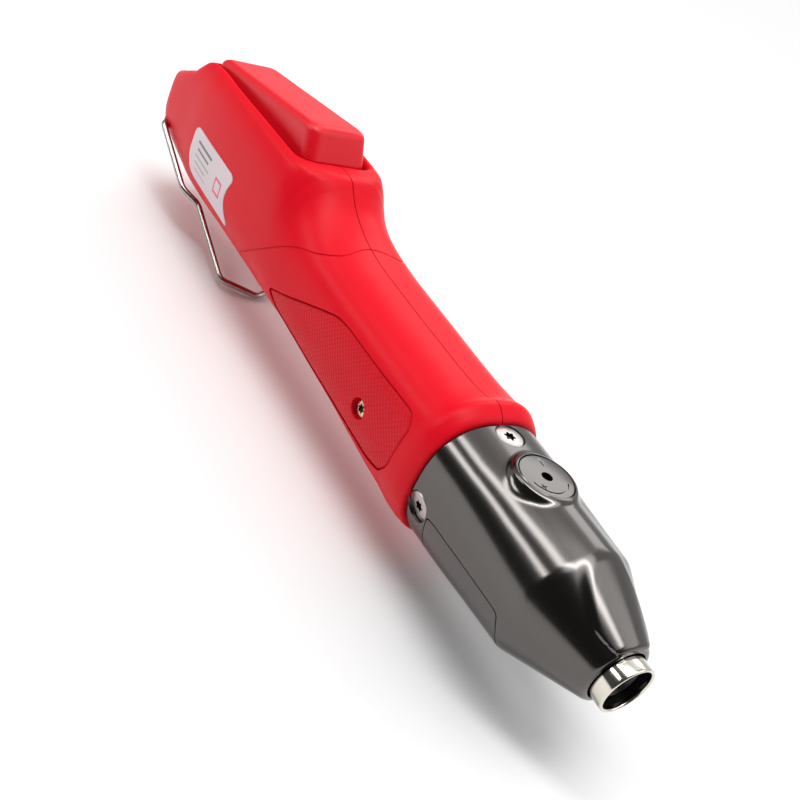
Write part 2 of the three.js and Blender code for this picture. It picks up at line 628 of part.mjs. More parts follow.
// Clutch: spring seat moved by the adjuster, spring, plate.
const seat = tubeX(-54, -48, 4.55, 12.6, 32)
  .subtract(block(DIAL_X - 1.17, DIAL_X + 1.17, -4.6, 4.6, 9.3, 14));
part("spring_seat", seat, STEEL);
part("clutch_spring", coil(0, -47.9, -38.5, 8.2, 0.75, 4.5, 0, 0, 5, 10), STEEL);
part("clutch_plate", tubeX(-38.2, -35.2, 4.3, 11.2, 28), DARK_STEEL);

// Planetary stage.
const ring = rodX(-71.4, GEAR_FRONT + 1, 13.5, 40).subtract(plateX(gearOutline(RING_TEETH, true), -75, -55));
part("ring_gear", ring, DARK_STEEL);
const sun = plateX(gearOutline(SUN_TEETH, false, Math.PI / SUN_TEETH), GEAR_BACK, GEAR_FRONT)
  .subtract(rodX(-80, -60, 1.3, 14));
part("sun_pinion", sun, BRASS);
let carrier = rodX(-62, -58.8, 11.6, 36).add(rodX(-59, -33, 4.1, 24));
for (let k = 0; k < 3; k++) {
  const a = (2 * Math.PI * k) / 3;
  const y = PLANET_CENTRE_R * Math.cos(a);
  const z = PLANET_CENTRE_R * Math.sin(a);
  const outline = gearOutline(PLANET_TEETH, false, a + Math.PI / PLANET_TEETH);
  const seat = new THREE.Matrix4().makeTranslation(0, y, z);
  const planet = placed(plateX(outline, GEAR_BACK, GEAR_FRONT), seat);
  part("planet_gear_" + (k + 1), planet.subtract(rodX(-80, -55, 1.35, 14, y, z)), STEEL);
  carrier = carrier.add(rodX(-69.6, -61, 1.2, 12, y, z));
}
part("planet_carrier", carrier, STEEL);

// Output spindle with its hex socket, retaining collar and ball hole.
const spindle = latheX([
  [-35, 0], [-35, 10], [-31.6, 10], [-31.6, SPINDLE_R], [-24.1, SPINDLE_R], [-24.1, 6.9], [-22.6, 6.9],
  [-22.6, SPINDLE_R], [-3.4, SPINDLE_R], [-2.6, SPINDLE_R - 0.7], [-2.6, 0],
], 28)
  .subtract(rodX(-36, -32.4, 4.4, 24))
  .subtract(plateX(hexagon(HEX_FLATS), -19, 0))
  .subtract(rodY(2, 7, 1.3, -11.3, 0, 14));
part("output_spindle", spindle, NICKEL);
part("detent_ball", solid(shift(new THREE.SphereGeometry(1.12, 8, 6), -11.3, 4.32, 0)), STEEL);
part("nose_bush", tubeX(-30.9, -24.5, 5.5, 8.95, 32), BRASS);
const sleeve = latheX([
  [-SLEEVE_LENGTH, 5.55], [-SLEEVE_LENGTH, SLEEVE_R - 0.3], [-SLEEVE_LENGTH + 0.4, SLEEVE_R],
  [-0.9, SLEEVE_R], [-0.3, SLEEVE_R - 0.12], [0, SLEEVE_R - 0.5], [-0.1, SLEEVE_R - 0.85], [-1.2, 6.75],
  [-7.7, 6.75], [-12.5, 5.55],
], 40, 0, 0, true);
part("nose_sleeve", sleeve, NICKEL);
part("sleeve_spring", coil(0, -22.4, -14.2, 6.2, 0.4, 4, 0, 0, 5, 10), STEEL);

// Motor.
const can = rodX(MOTOR_BACK, MOTOR_FRONT, MOTOR_R, 36)
  .subtract(rodX(MOTOR_BACK - 1, MOTOR_FRONT - 1.2, MOTOR_R - 1, 36))
  .subtract(rodX(-80, -70, 3.2, 20));
part("motor_can", can, STEEL);
part("gear_plate", tubeX(-75.8, -71.7, 3.2, 13.5, 36), DARK_STEEL);
part("motor_end_bell", latheX([
  [-130.5, 1.9], [-130.5, 5], [-127.6, 5.6], [-127.6, MOTOR_R - 0.4], [MOTOR_BACK - 0.2, MOTOR_R - 0.4],
  [MOTOR_BACK - 0.2, 1.9]], 32, 0, 0, true), BLACK);
const magnet = (side) => tubeX(-119, -81, 10.9, 12.2, 28)
  .intersect(block(-130, -70, -20, 20, side > 0 ? 5 : -20, side > 0 ? 20 : -5));
part("magnet_upper", magnet(1), DARK_STEEL);
part("magnet_lower", magnet(-1), DARK_STEEL);
part("rotor_shaft", rodX(-132.5, -62.6, 1.2, 16), STEEL);
part("rotor_core", tubeX(-113, -84, 1.45, 10.4, 24), COPPER);
part("commutator", tubeX(-121.5, -115, 1.45, 5, 20), COPPER);

// Lever: raked front, top falling to the rear, hollow from below.
const LEVER_TILT = 0.168;
const LEVER_FRONT = -180.9;
const LEVER_REAR = -251.4;
function leverRing(z, half, front, rear, tilt, inset) {
  const f = front - inset;
  const r = rear + inset;
  const h = half - inset;
  const side = [
    [f, h - 3.4], [f - 0.4, h - 1.9], [f - 1.2, h - 0.7], [f - 2.8, h - 0.1], [f - 6, h],
    [r + 12, h - 0.2], [r + 3, h - 0.6], [r + 1, h - 1.2], [r, h - 3],
  ];
  const rise = (x) => z + tilt * (x + 185.6);
  return [
    ...side.map(([x, y]) => [x, y, rise(x)]),
    ...side.slice().reverse().map(([x, y]) => [x, -y, rise(x)]),
  ];
}
const leverHollow = skin([
  leverRing(15, LEVER_HALF - 2, LEVER_FRONT - 2, -239.5, 0, 0),
  leverRing(28.2, LEVER_HALF - 2.1, LEVER_FRONT - 2.6, -239.5, LEVER_TILT, 0),
  leverRing(35.6, LEVER_HALF - 2.8, LEVER_FRONT - 6.4, -239.5, LEVER_TILT, 0),
]);
const lever = skin([
  leverRing(19.5, LEVER_HALF, LEVER_FRONT, LEVER_REAR, 0, 0),
  leverRing(28.2, LEVER_HALF + 0.1, LEVER_FRONT, LEVER_REAR, LEVER_TILT, 0),
  leverRing(37.3, LEVER_HALF - 0.7, LEVER_FRONT - 4.2, LEVER_REAR - 0.2, LEVER_TILT, 0),
  leverRing(38.3, LEVER_HALF - 0.9, LEVER_FRONT - 4.8, LEVER_REAR - 0.2, LEVER_TILT, 0.5),
  leverRing(38.7, LEVER_HALF - 1.2, LEVER_FRONT - 5.5, LEVER_REAR - 0.2, LEVER_TILT, 1.4),
])
  .subtract(leverHollow)
  .add(rodZ(24.8, 34, 2.3, SWITCH_X, 0, 16))
  .add(rodZ(24, 36, 4, LEVER_SPRING_X, 0, 16))
  .subtract(rodY(-14, 14, 1.65, LEVER_PIVOT[0], LEVER_PIVOT[1], 14));
part("lever", lever, RED);
part("lever_spring", coil(2, WELL_FLOOR + 0.15, 23.8, 3, 0.4, 5, LEVER_SPRING_X, 0, 5, 9), STEEL);

// Start switch and its plunger.
part("switch_plunger", rodZ(8.9, 24.5, 2.1, SWITCH_X, 0, 18), BLACK);
part("switch_body", block(SWITCH_X - 8, SWITCH_X + 7, -6, 6, 0.5, 11.5)
  .subtract(rodZ(4, 12, 2.35, SWITCH_X, 0, 18)), BLACK);

// Electronics and the power inlet in the tail.
part("control_board", block(-247, -212, -9.5, 9.5, -8.6, -7), GREEN);
part("filter_capacitor", rodZ(-6.8, 6.5, 5, -236, 0, 20), BLACK);
const inlet = latheX([
  [-273, 0], [-273, 6], [-269.2, 6], [-269.2, 7.2], [-266.8, 7.2], [-266.8, 5], [-262.5, 5], [-262.5, 0],
], 24, 0, 1.5).subtract(tubeX(-274, -264, 1, 3.2, 18, 0, 1.5));
part("power_inlet", inlet, BLACK);
const LEAD_R = 0.7;
const PLUS_LEAD = [[-130.8, 3.2, 0], [-140, 3.6, -2], [-170, 6, -6], [-192, 4, 2], [-194.6, 4, 6]];
const MINUS_LEAD = [
  [-130.8, -3.2, 0], [-140, -3.6, -3], [-175, -5, -5.6], [-200, -5, -6.4], [-211.5, -4, -7.8],
];
part("lead_positive", wire(rounded(PLUS_LEAD, 2, 2), LEAD_R, 6), RED);
part("lead_negative", wire(rounded(MINUS_LEAD, 2, 2), LEAD_R, 6), BLACK);
part("lever_pin", rodY(-14.9, 14.9, 1.5, LEVER_PIVOT[0], LEVER_PIVOT[1], 16), STEEL);

// Bail and its bushes.
const bush = (y0, y1) => latheY(
  [[y0, 1.25], [y0, 2.3], [y1, 2.3], [y1, 1.25]], 20, BAIL_PIVOT[0], BAIL_PIVOT[1], true,
);
part("bail_bush_right", bush(-16, -12.7), BRASS);
part("bail_bush_left", bush(12.7, 16), BRASS);
const bailPoint = (u, y) => {
  const a = THREE.MathUtils.degToRad(BAIL_OPEN);
  return [BAIL_PIVOT[0] + u * Math.cos(a), y, BAIL_PIVOT[1] - u * Math.sin(a)];
};
const halfBail = [
  bailPoint(0, BAIL_HALF - 4.2),
  bailPoint(0, BAIL_HALF),
  bailPoint(BAIL_ARM, BAIL_HALF),
  bailPoint(BAIL_ARM + BAIL_JOG, BAIL_JOG_HALF),
  bailPoint(BAIL_ARM + BAIL_JOG + BAIL_LOWER_ARM, BAIL_JOG_HALF),
];
const tip = bailPoint(BAIL_ARM + BAIL_JOG + BAIL_LOWER_ARM + BAIL_TIP, 0);
const bailPath = [...halfBail, tip, ...halfBail.slice().reverse().map(([x, y, z]) => [x, -y, z])];
part("bail", wire(rounded(bailPath, 1.9, 3), BAIL_WIRE_R, 8), STEEL);

group.position.set(136.5, 0, 32.2);
export default group;
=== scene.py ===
import json
import math

import bpy
import numpy as np
from mathutils import Matrix, Vector


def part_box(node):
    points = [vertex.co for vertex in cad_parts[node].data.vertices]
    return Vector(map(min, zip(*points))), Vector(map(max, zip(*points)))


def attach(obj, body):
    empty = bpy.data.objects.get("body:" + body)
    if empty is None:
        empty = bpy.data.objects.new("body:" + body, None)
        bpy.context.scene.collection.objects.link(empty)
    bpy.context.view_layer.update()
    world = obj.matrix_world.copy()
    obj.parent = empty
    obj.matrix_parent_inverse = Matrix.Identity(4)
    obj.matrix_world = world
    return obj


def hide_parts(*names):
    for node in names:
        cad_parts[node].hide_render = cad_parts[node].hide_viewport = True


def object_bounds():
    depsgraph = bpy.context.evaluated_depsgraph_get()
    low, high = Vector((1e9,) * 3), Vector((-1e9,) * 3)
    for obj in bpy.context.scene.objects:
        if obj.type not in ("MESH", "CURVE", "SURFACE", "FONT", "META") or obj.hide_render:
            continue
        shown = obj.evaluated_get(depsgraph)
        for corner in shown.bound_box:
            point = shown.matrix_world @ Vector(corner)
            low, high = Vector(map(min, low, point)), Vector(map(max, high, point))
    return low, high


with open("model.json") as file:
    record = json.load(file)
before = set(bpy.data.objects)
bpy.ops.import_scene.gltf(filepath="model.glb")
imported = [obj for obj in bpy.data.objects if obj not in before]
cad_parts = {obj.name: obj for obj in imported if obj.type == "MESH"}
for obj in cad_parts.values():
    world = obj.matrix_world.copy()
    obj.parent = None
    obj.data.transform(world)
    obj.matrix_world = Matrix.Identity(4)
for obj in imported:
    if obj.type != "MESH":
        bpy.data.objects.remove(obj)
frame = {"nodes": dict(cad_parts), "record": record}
cad_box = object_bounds()

# Lengths are millimetres in the tool's own frame until a mesh is made:
# nose rim at x = 0, +X forward, +Z towards the lever, +Y to the tool's left.
MM = 0.001
NOSE_LOW, NOSE_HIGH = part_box("nose_sleeve")
AXIS = np.array((NOSE_HIGH.x, 0.0, (NOSE_LOW.z + NOSE_HIGH.z) / 2))

SEAM = 0.15  # half of the gap between the two housing halves
JOINT_X = -71.8  # where the housing meets the metal head
TAIL_X = -272.6
MOUTH_X = -4.6
DIAL_X = -51.0
DIAL_TOP = 19.3
DIAL_R = 7.9
LEVER_PIVOT = (-245.0, 21.5)
LEVER_FRONT = -180.9
LEVER_REAR = -251.5
LEVER_TILT = 0.168
LEVER_HALF = 11.45
LEVER_TOP = 38.7
LEVER_SHOULDER = 28.2  # the front and flanks lean in above this height
LEVER_WALL = 2.1
LEVER_HOLLOW_REAR = -239.5
LEVER_SPRING_X = -189.0
PIN_HOLE_R = 1.6
SWITCH_X = -203.0
PLUNGER_HOLE_R = 2.35
WELL_FLOOR = 14.2
WELL_TOP = 36.0
BAIL_PIVOT = (-265.0, -6.6)
BAIL_HOLE_R = 1.6
INLET_Z = 1.5
INLET_HOLE_R = 6.2
POST_R = 3.4
SCREW_HOLE_R = 1.35
SCREW_SINK_R = 2.75
PAD_SCREW = (-102.6, -3.5)
TAIL_SCREW = (-256.0, 2.0)
MID_SCREW = (-166.0, -10.6)
HEAD_SCREW_X = -67.4
HEAD_SCREW_SPOTS = {"top": (0, 17.95), "right": (109, 18.6), "left": (-109, 18.6)}
SLEEVE_R = 7.65
SLEEVE_HOLLOW_R = 6.75
HEX_FLATS = 6.45
CONE_R = 9.6  # radius of the head's cone at x = -5
CONE_SLOPE = 0.435
BOSS_R = 10.5
BOSS_TAPER = 0.34
PAD_DEPTH = 1.1
PAD_SUNK = 0.2
PAD_GAP = 0.35
LABEL_DEPTH = 0.45
LABEL_PROUD = 0.12
COVER_DEPTH = 1.7
COVER_GAP = 0.3
BED_GAP = 0.15  # clearance under a pad, the label and the cover
CAVITY_REAR = -269.4
CAVITY_FRONT = -71.2

# Low and high corners of the room searched for a surface.
HOUSING_BOX = ((-275, -22.5, -25), (-70, 22.5, 33))
CAVITY_BOX = ((-271, -19, -20), (-69, 19, 18))
HEAD_BOX = ((-73, -20.5, -24), (-3, 20.5, 21))
LEVER_BOX = ((-254, -13, 15), (-178, 13, 42))
PAD_BOX = ((-166, -23, -15), (-78, -12, 14))
LABEL_BOX = ((-240, -23, -11), (-195, -14, 11))

# Sections of the housing skin: x, half width, top, bottom, widest height, upper and lower exponents.
BODY = [
    (-71.8, 19.4, 18.9, -22.4, 0, 2.5, 2.4),
    (-73.6, 19.9, 20.3, -22.8, 0, 2.5, 2.4),
    (-76.6, 20.2, 21.5, -23.1, 0, 2.5, 2.4),
    (-80.5, 20.0, 20.0, -22.9, 0, 2.6, 2.5),
    (-85, 19.7, 19.1, -22.5, 0, 2.8, 2.5),
    (-96, 19.5, 18.6, -21.5, 0, 2.8, 2.6),
    (-118, 19.5, 18.4, -19.3, 0, 2.9, 2.6),
    (-138, 19.5, 18.5, -17.6, 0, 2.9, 2.7),
    (-147, 19.6, 19.2, -16.9, 0, 2.8, 2.7),
    (-153, 19.7, 20.3, -16.6, 0.6, 2.6, 2.7),
    (-158, 19.8, 21.9, -16.5, 1.2, 2.4, 2.7),
    (-163, 20.0, 24.0, -16.5, 2.0, 2.3, 2.8),
    (-167.5, 20.1, 27.2, -16.5, 3.0, 2.25, 2.9),
    (-171, 20.2, 30.6, -16.5, 4.0, 2.3, 2.9),
    (-174, 20.2, 32.6, -16.6, 5.0, 2.6, 3.0),
    (-179, 20.2, 34.2, -16.7, 6.0, 3.0, 3.0),
    (-190, 20.2, 34.6, -16.8, 6.0, 3.2, 3.0),
    (-205, 20.0, 34.5, -17.1, 6.0, 3.2, 3.0),
    (-222, 19.6, 33.6, -17.9, 6.0, 3.1, 3.0),
    (-238, 18.8, 31.9, -18.3, 5.5, 3.0, 3.0),
    (-250, 17.6, 30.4, -17.4, 5.0, 3.0, 3.0),
    (-262, 16.6, 26.0, -15.6, 4.0, 3.0, 3.0),
    (-269, 15.9, 20.0, -13.6, 3.0, 3.0, 3.0),
    (-271.6, 14.9, 18.0, -12.2, 3.0, 3.0, 3.0),
    (-272.6, 13.4, 16.0, -10.6, 3.0, 3.0, 3.0),
]
CAVITY = [
    (-71, 15.8, 15.8, -15.8, 0, 2, 2),
    (-80, 15.9, 15.7, -15.9, 0, 2, 2),
    (-84, 16.9, 16.0, -18.0, 0, 2.6, 2.6),
    (-118, 17.0, 15.9, -16.9, 0, 2.7, 2.7),
    (-150, 17.2, 15.9, -14.3, 0, 2.8, 2.8),
    (-164, 17.5, 14.6, -14.1, 0, 3, 2.8),
    (-174, 17.7, 11.9, -14.2, 0, 4, 3),
    (-205, 17.5, 11.9, -14.7, 0, 4, 3),
    (-238, 16.2, 11.9, -15.8, 1, 4, 3),
    (-258, 14.4, 11.4, -13.6, 1.5, 3.4, 3),
    (-269.4, 13.0, 9.5, -10.6, 1.5, 3, 3),
]
# The housing's top line over the tail and round the lever well: x, height.
ROOF = [
    (-290, 9.4), (-272.5, 11.6), (-262, 16.2), (-257.8, 18.6), (-255.2, 22), (-252.6, 25.2),
    (-249.5, 26.7), (-228, 28.0), (-204, 29.4), (-179, 29.8), (-171, 30.1), (-165, 45), (-60, 60),
]
# Half width of the lever well at its mouth and its floor: x, half width.
WELL_MOUTH = [(-256, 11.8), (-242, 12.2), (-226, 13.9), (-208, 14.9), (-192, 14.6), (-176, 14.2)]
WELL_FRONT = -179.7
WELL_REAR = -252.4
WELL_FLOOR_HALF = 12.2
# Outlines on the flank: x, z.
PAD = [
    (-162.5, -6.4), (-151, -1.4), (-136, 5.6), (-128, 9.0), (-122, 9.8), (-101, 10.0), (-84.5, 10.8),
    (-81.6, 7.8), (-82.4, -6.2), (-86, -11.0), (-93, -12.6), (-131, -12.2), (-158, -10.4),
]
LABEL = [
    (-237.2, 6.6), (-235, 8), (-203.4, 8.4), (-201.8, 7), (-203.6, 3), (-204, -1), (-202, -4.6),
    (-198.6, -7.4), (-199.6, -8.6), (-232, -8.4), (-234.8, -7.4), (-237.4, -2),
]
COVER = [
    (-62.3, -5.4), (-59, -4.9), (-31, -3.8), (-29.2, -4.3), (-27.9, -9), (-27.7, -28), (-62.3, -28),
]
# Line moulded round the housing where the rear half meets the neck, right flank to the top.
PANEL_LINE = [
    (-186.7, -18.9, -9.9), (-173, -20.5, 0.7), (-159.6, -18.7, 10.9), (-150.8, -15.8, 14.8),
    (-146.2, -10.3, 17.8), (-148.6, 0, 19.0),
]
# Metal head: barrel, and the rib that runs forward from the boss.
BARREL = [
    (-73, 18.6, 18.2, -22.6, 0, 2.5, 2.2),
    (-60, 18.6, 18.2, -22.0, 0, 2.5, 2.2),
    (-44, 18.5, 18.2, -21.1, 0, 2.3, 2.1),
    (-29, 18.5, 18.3, -20.2, 0, 2.08, 2.02),
    (-10, 18.4, 18.3, -19.4, 0, 2.0, 2.0),
]
RIB = [
    (-63, 2.0, 16.0, 8, 10, 2, 2),
    (-56, 7.0, 19.0, 8, 10, 2.2, 2),
    (-50, 7.9, 19.2, 8, 10, 2.4, 2),
    (-34, 8.0, 19.2, 8, 10, 2.4, 2),
    (-20, 7.8, 18.9, 8, 10, 2.4, 2),
]


# ---- fields: negative inside, in mm from the surface ----
def smooth_curve(pairs):
    """A function through (x, y) pairs that is smooth and never overshoots."""
    pairs = sorted(pairs)
    xs = np.array([p[0] for p in pairs], float)
    ys = np.array([p[1] for p in pairs], float)
    gap = np.diff(xs)
    slope = np.diff(ys) / gap
    tangent = np.zeros_like(ys)
    tangent[0], tangent[-1] = slope[0], slope[-1]
    before, after = slope[:-1], slope[1:]
    same = before * after > 0
    w1 = 2 * gap[1:] + gap[:-1]
    w2 = gap[1:] + 2 * gap[:-1]
    harmonic = (w1 + w2) / (w1 / np.where(same, before, 1) + w2 / np.where(same, after, 1))
    tangent[1:-1] = np.where(same, harmonic, 0)

    def at(x):
        x = np.clip(x, xs[0], xs[-1])
        k = np.clip(np.searchsorted(xs, x) - 1, 0, len(gap) - 1)
        h = gap[k]
        t = (x - xs[k]) / h
        a = (1 + 2 * t) * (1 - t) ** 2 * ys[k] + t * t * (3 - 2 * t) * ys[k + 1]
        return a + t * (1 - t) ** 2 * h * tangent[k] - t * t * (1 - t) * h * tangent[k + 1]

    return at


def smax(a, b, k):
    """The larger of two fields, with the edge between them rounded over a width k."""
    h = np.maximum(k - np.abs(a - b), 0) / k
    return np.maximum(a, b) + h * h * k / 4


def smin(a, b, k):
    """The smaller of two fields, rounded in the same way."""
    return -smax(-a, -b, k)


def tube_of_sections(table):
    """Field of a body whose sections are superellipses."""
    columns = [smooth_curve([(row[0], row[k]) for row in table]) for k in range(1, 7)]

    def field(x, y, z):
        half, top, low, mid, upper, lower = (c(x) for c in columns)
        above = z >= mid
        height = np.where(above, top - mid, mid - low)
        power = np.where(above, upper, lower)
        r = ((np.abs(y) / half) ** power + (np.abs(z - mid) / height) ** power) ** (1 / power)
        rho = np.hypot(y, z - mid)
        return rho - rho / np.maximum(r, 1e-6)

    return field


skin_field = tube_of_sections(BODY)
cavity_sections = tube_of_sections(CAVITY)
barrel_field = tube_of_sections(BARREL)
rib_field = tube_of_sections(RIB)
roof_line = smooth_curve(ROOF)
well_mouth = smooth_curve(WELL_MOUTH)


def roof_field(x, y, z):
    """What lies under the housing's top line."""
    slope = (roof_line(x + 0.2) - roof_line(x - 0.2)) / 0.4
    return (z - roof_line(x)) / np.sqrt(1 + slope**2) + 0 * y


def well_field(x, y, z):
    """The room for the lever: narrow at its floor and wider at its mouth."""
    t = np.clip((z - WELL_FLOOR) / (WELL_TOP - WELL_FLOOR), 0, 1)
    half = (1 - t) * WELL_FLOOR_HALF + t * well_mouth(x)
    plan = smax(np.abs(y) - half, x - WELL_FRONT, 7)
    plan = smax(plan, WELL_REAR - x, 1.5)
    return smax(plan, WELL_FLOOR - z, 1)


def housing_field(x, y, z):
    """Both halves of the housing as one solid, before it is hollowed and split."""
    f = smax(skin_field(x, y, z), TAIL_X - x, 1.6)
    f = smax(f, x - JOINT_X, 0.7)
    f = smax(f, roof_field(x, y, z), 2.6)
    return smax(f, -well_field(x, y, z), 2.0)


def cavity_field(x, y, z):
    return np.maximum(cavity_sections(x, y, z), np.maximum(CAVITY_REAR - x, x - CAVITY_FRONT))


def cone_field(x, y, z, spare=0.0):
    """The cone that closes in on the head's mouth, with some material to spare."""
    radius = CONE_R + spare + CONE_SLOPE * (-5 - x)
    return (np.hypot(y, z) - radius) / math.hypot(1, CONE_SLOPE)


def boss_field(x, y, z):
    """The round boss that holds the dial."""
    r = np.hypot(x - DIAL_X, y)
    wall = r - (BOSS_R - BOSS_TAPER * np.maximum(z - 14.5, 0))
    return smax(wall, z - (DIAL_TOP - 0.05), 1.0)


def head_field(x, y, z):
    """Barrel and cone, with the rib and the boss blended in."""
    f = smax(barrel_field(x, y, z), cone_field(x, y, z), 0.5)
    rib = smax(rib_field(x, y, z), cone_field(x, y, z, 0.4), 0.8)
    f = smin(f, rib, 1.8)
    f = smin(f, np.maximum(boss_field(x, y, z), 8 - z), 1.6)
    f = smax(f, x - MOUTH_X, 1.2)
    return smax(f, JOINT_X + 0.1 - x, 0.4)


def lever_skin(x, y, z):
    """The lever's outside, whose top falls to the rear."""
    level = z - LEVER_TILT * (x + 185.6)
    above = np.maximum(level - LEVER_SHOULDER, 0)
    half = LEVER_HALF - 0.085 * above
    front = LEVER_FRONT - 0.46 * above
    f = smax(np.abs(y) - half, (x - front) * 0.93, 4.2)
    f = smax(f, LEVER_REAR - x, 2.5)
    return smax(f, level - LEVER_TOP, 2.6)


def lever_field(x, y, z):
    """The lever as a shell that is open below and solid at its pivot."""
    f = np.maximum(lever_skin(x, y, z), 19.4 - z)
    hollow = np.maximum(lever_skin(x, y, z) + LEVER_WALL, LEVER_HOLLOW_REAR - x)
    return smax(f, -hollow, 0.6)


def outline_field(outline):
    """Distance from a flat outline in X and Z, negative inside."""
    a = np.array(outline, float)
    b = np.roll(a, -1, axis=0)

    def field(x, y, z):
        shape = np.broadcast(x, z).shape
        nearest = np.full(shape, 1e9)
        inside = np.zeros(shape, bool)
        for (ax, az), (bx, bz) in zip(a, b):
            ex, ez = bx - ax, bz - az
            t = np.clip(((x - ax) * ex + (z - az) * ez) / (ex * ex + ez * ez), 0, 1)
            nearest = np.minimum(nearest, np.hypot(x - ax - t * ex, z - az - t * ez))
            if az != bz:
                crossing = ((az > z) != (bz > z)) & (x < ax + (z - az) * ex / ez)
                inside = inside ^ crossing
        return np.where(inside, -nearest, nearest)

    return field


def rounded(points, radius, steps=5):
    """The corners of a closed flat outline, rounded."""
    p = [Vector(q) for q in points]
    out = []
    for i, corner in enumerate(p):
        a = corner + (p[i - 1] - corner).normalized() * min(radius, (p[i - 1] - corner).length * 0.45)
        after = p[(i + 1) % len(p)]
        b = corner + (after - corner).normalized() * min(radius, (after - corner).length * 0.45)
        for k in range(steps + 1):
            t = k / steps
            out.append(tuple(a * (1 - t) ** 2 + corner * 2 * t * (1 - t) + b * t * t))
    return out


def smooth_path(points, per_span):
    """Catmull-Rom points through a list of points."""
    p = [Vector(q) for q in points]
    p = [p[0] * 2 - p[1], *p, Vector((p[-2].x, -p[-2].y, p[-2].z))]
    out = []
    for a, b, c, d in zip(p, p[1:], p[2:], p[3:]):
        for k in range(per_span):
            t = k / per_span
            out.append(tuple(0.5 * (2 * b + (c - a) * t + (2 * a - 5 * b + 4 * c - d) * t * t
                                    + (3 * b - a - 3 * c + d) * t**3)))
    out.append(tuple(p[-2]))
    return out


pad_plan = outline_field(rounded(PAD, 1.8))
label_plan = outline_field(rounded(LABEL, 1.6))


def inlay(plan, skin, proud, depth, edge):
    """Field of a thin piece let into a skin: an outline, a top and a bottom."""
    def field(x, y, z):
        surface = skin(x, y, z)
        f = smax(plan(x, y, z), surface - proud, edge)
        return np.maximum(f, -surface - depth)

    return field


def bed(plan, skin, gap, depth):
    """Field of the room cut for such a piece."""
    def field(x, y, z):
        surface = skin(x, y, z)
        return np.maximum(np.maximum(plan(x, y, z) - gap, surface - 1.6), -surface - depth)

    return field


# ---- meshes ----
def new_object(name, points, faces):
    """Mesh object from points in mm and faces, with its faces turned outwards."""
    p = np.asarray(points, float)
    corners = [(f[0], f[k], f[k + 1]) for f in faces for k in range(1, len(f) - 1)]
    c = np.array(corners)
    volume = np.einsum("ij,ij->i", p[c[:, 0]], np.cross(p[c[:, 1]], p[c[:, 2]])).sum()
    if volume < 0:
        faces = [tuple(reversed(f)) for f in faces]
    mesh = bpy.data.meshes.new(name)
    mesh.from_pydata((p * MM + AXIS).tolist(), [], [tuple(f) for f in faces])
    obj = bpy.data.objects.new(name, mesh)
    bpy.context.scene.collection.objects.link(obj)
    return obj


def polygonise(name, field, low, high, step):
    """Closed quad mesh of a field's zero level: one point per crossed cell, moved onto the surface."""
    axes = [np.arange(a, b + step, step) for a, b in zip(low, high)]
    value = field(axes[0][:, None, None], axes[1][None, :, None], axes[2][None, None, :])
    inside = value < 0
    cells = tuple(n - 1 for n in value.shape)
    count = np.zeros(cells, np.float32)
    total = [np.zeros(cells, np.float32) for _ in range(3)]
    crossings = []
    for a in range(3):
        b, c = (a + 1) % 3, (a + 2) % 3
        first = [slice(None)] * 3
        second = [slice(None)] * 3
        first[a], second[a] = slice(None, -1), slice(1, None)
        v0, v1 = value[tuple(first)], value[tuple(second)]
        crossed = inside[tuple(first)] != inside[tuple(second)]
        share = np.where(crossed, v0 / np.where(crossed, v0 - v1, 1), 0)
        crossings.append((crossed, inside[tuple(first)]))
        for db in (0, 1):
            for dc in (0, 1):
                pick = [slice(None)] * 3
                pick[b] = slice(db, cells[b] + db)
                pick[c] = slice(dc, cells[c] + dc)
                here = crossed[tuple(pick)]
                count += here
                total[a] += share[tuple(pick)]
                total[b] += here * db
                total[c] += here * dc
    used = count > 0
    index = np.full(cells, -1)
    index[used] = np.arange(used.sum())
    at = np.nonzero(used)
    points = [axes[k][0] + step * (at[k] + total[k][used] / count[used]) for k in range(3)]
    faces = []
    for a in range(3):
        b, c = (a + 1) % 3, (a + 2) % 3
        crossed, starts_inside = crossings[a]
        where = list(np.nonzero(crossed))
        keep = (where[b] > 0) & (where[c] > 0) & (where[b] < cells[b]) & (where[c] < cells[c])
        where = [w[keep] for w in where]
        corner = []
        for db, dc in ((-1, -1), (0, -1), (0, 0), (-1, 0)):
            spot = [w.copy() for w in where]
            spot[b] += db
            spot[c] += dc
            corner.append(index[tuple(spot)])
        quads = np.stack(corner, axis=1)
        outward = starts_inside[tuple(where)]
        quads[~outward] = quads[~outward][:, ::-1]
        faces.append(quads)
    points = settle(field, np.stack(points, axis=1), step)
    return new_object(name, points, np.concatenate(faces).tolist())


def settle(field, points, reach, rounds=3):
    """Points moved along a field's slope onto its surface."""
    points = np.array(points, float)
    small = 0.04
    for _ in range(rounds):
        x, y, z = points.T
        slope = np.stack([
            field(x + small, y, z) - field(x - small, y, z),
            field(x, y + small, z) - field(x, y - small, z),
            field(x, y, z + small) - field(x, y, z - small),
        ], axis=1) / (2 * small)
        steepness = np.maximum((slope**2).sum(axis=1), 0.2)
        move = slope * (field(x, y, z) / steepness)[:, None]
        length = np.linalg.norm(move, axis=1, keepdims=True)
        points -= move * np.minimum(1, 0.6 * reach / np.maximum(length, 1e-9))
    return points


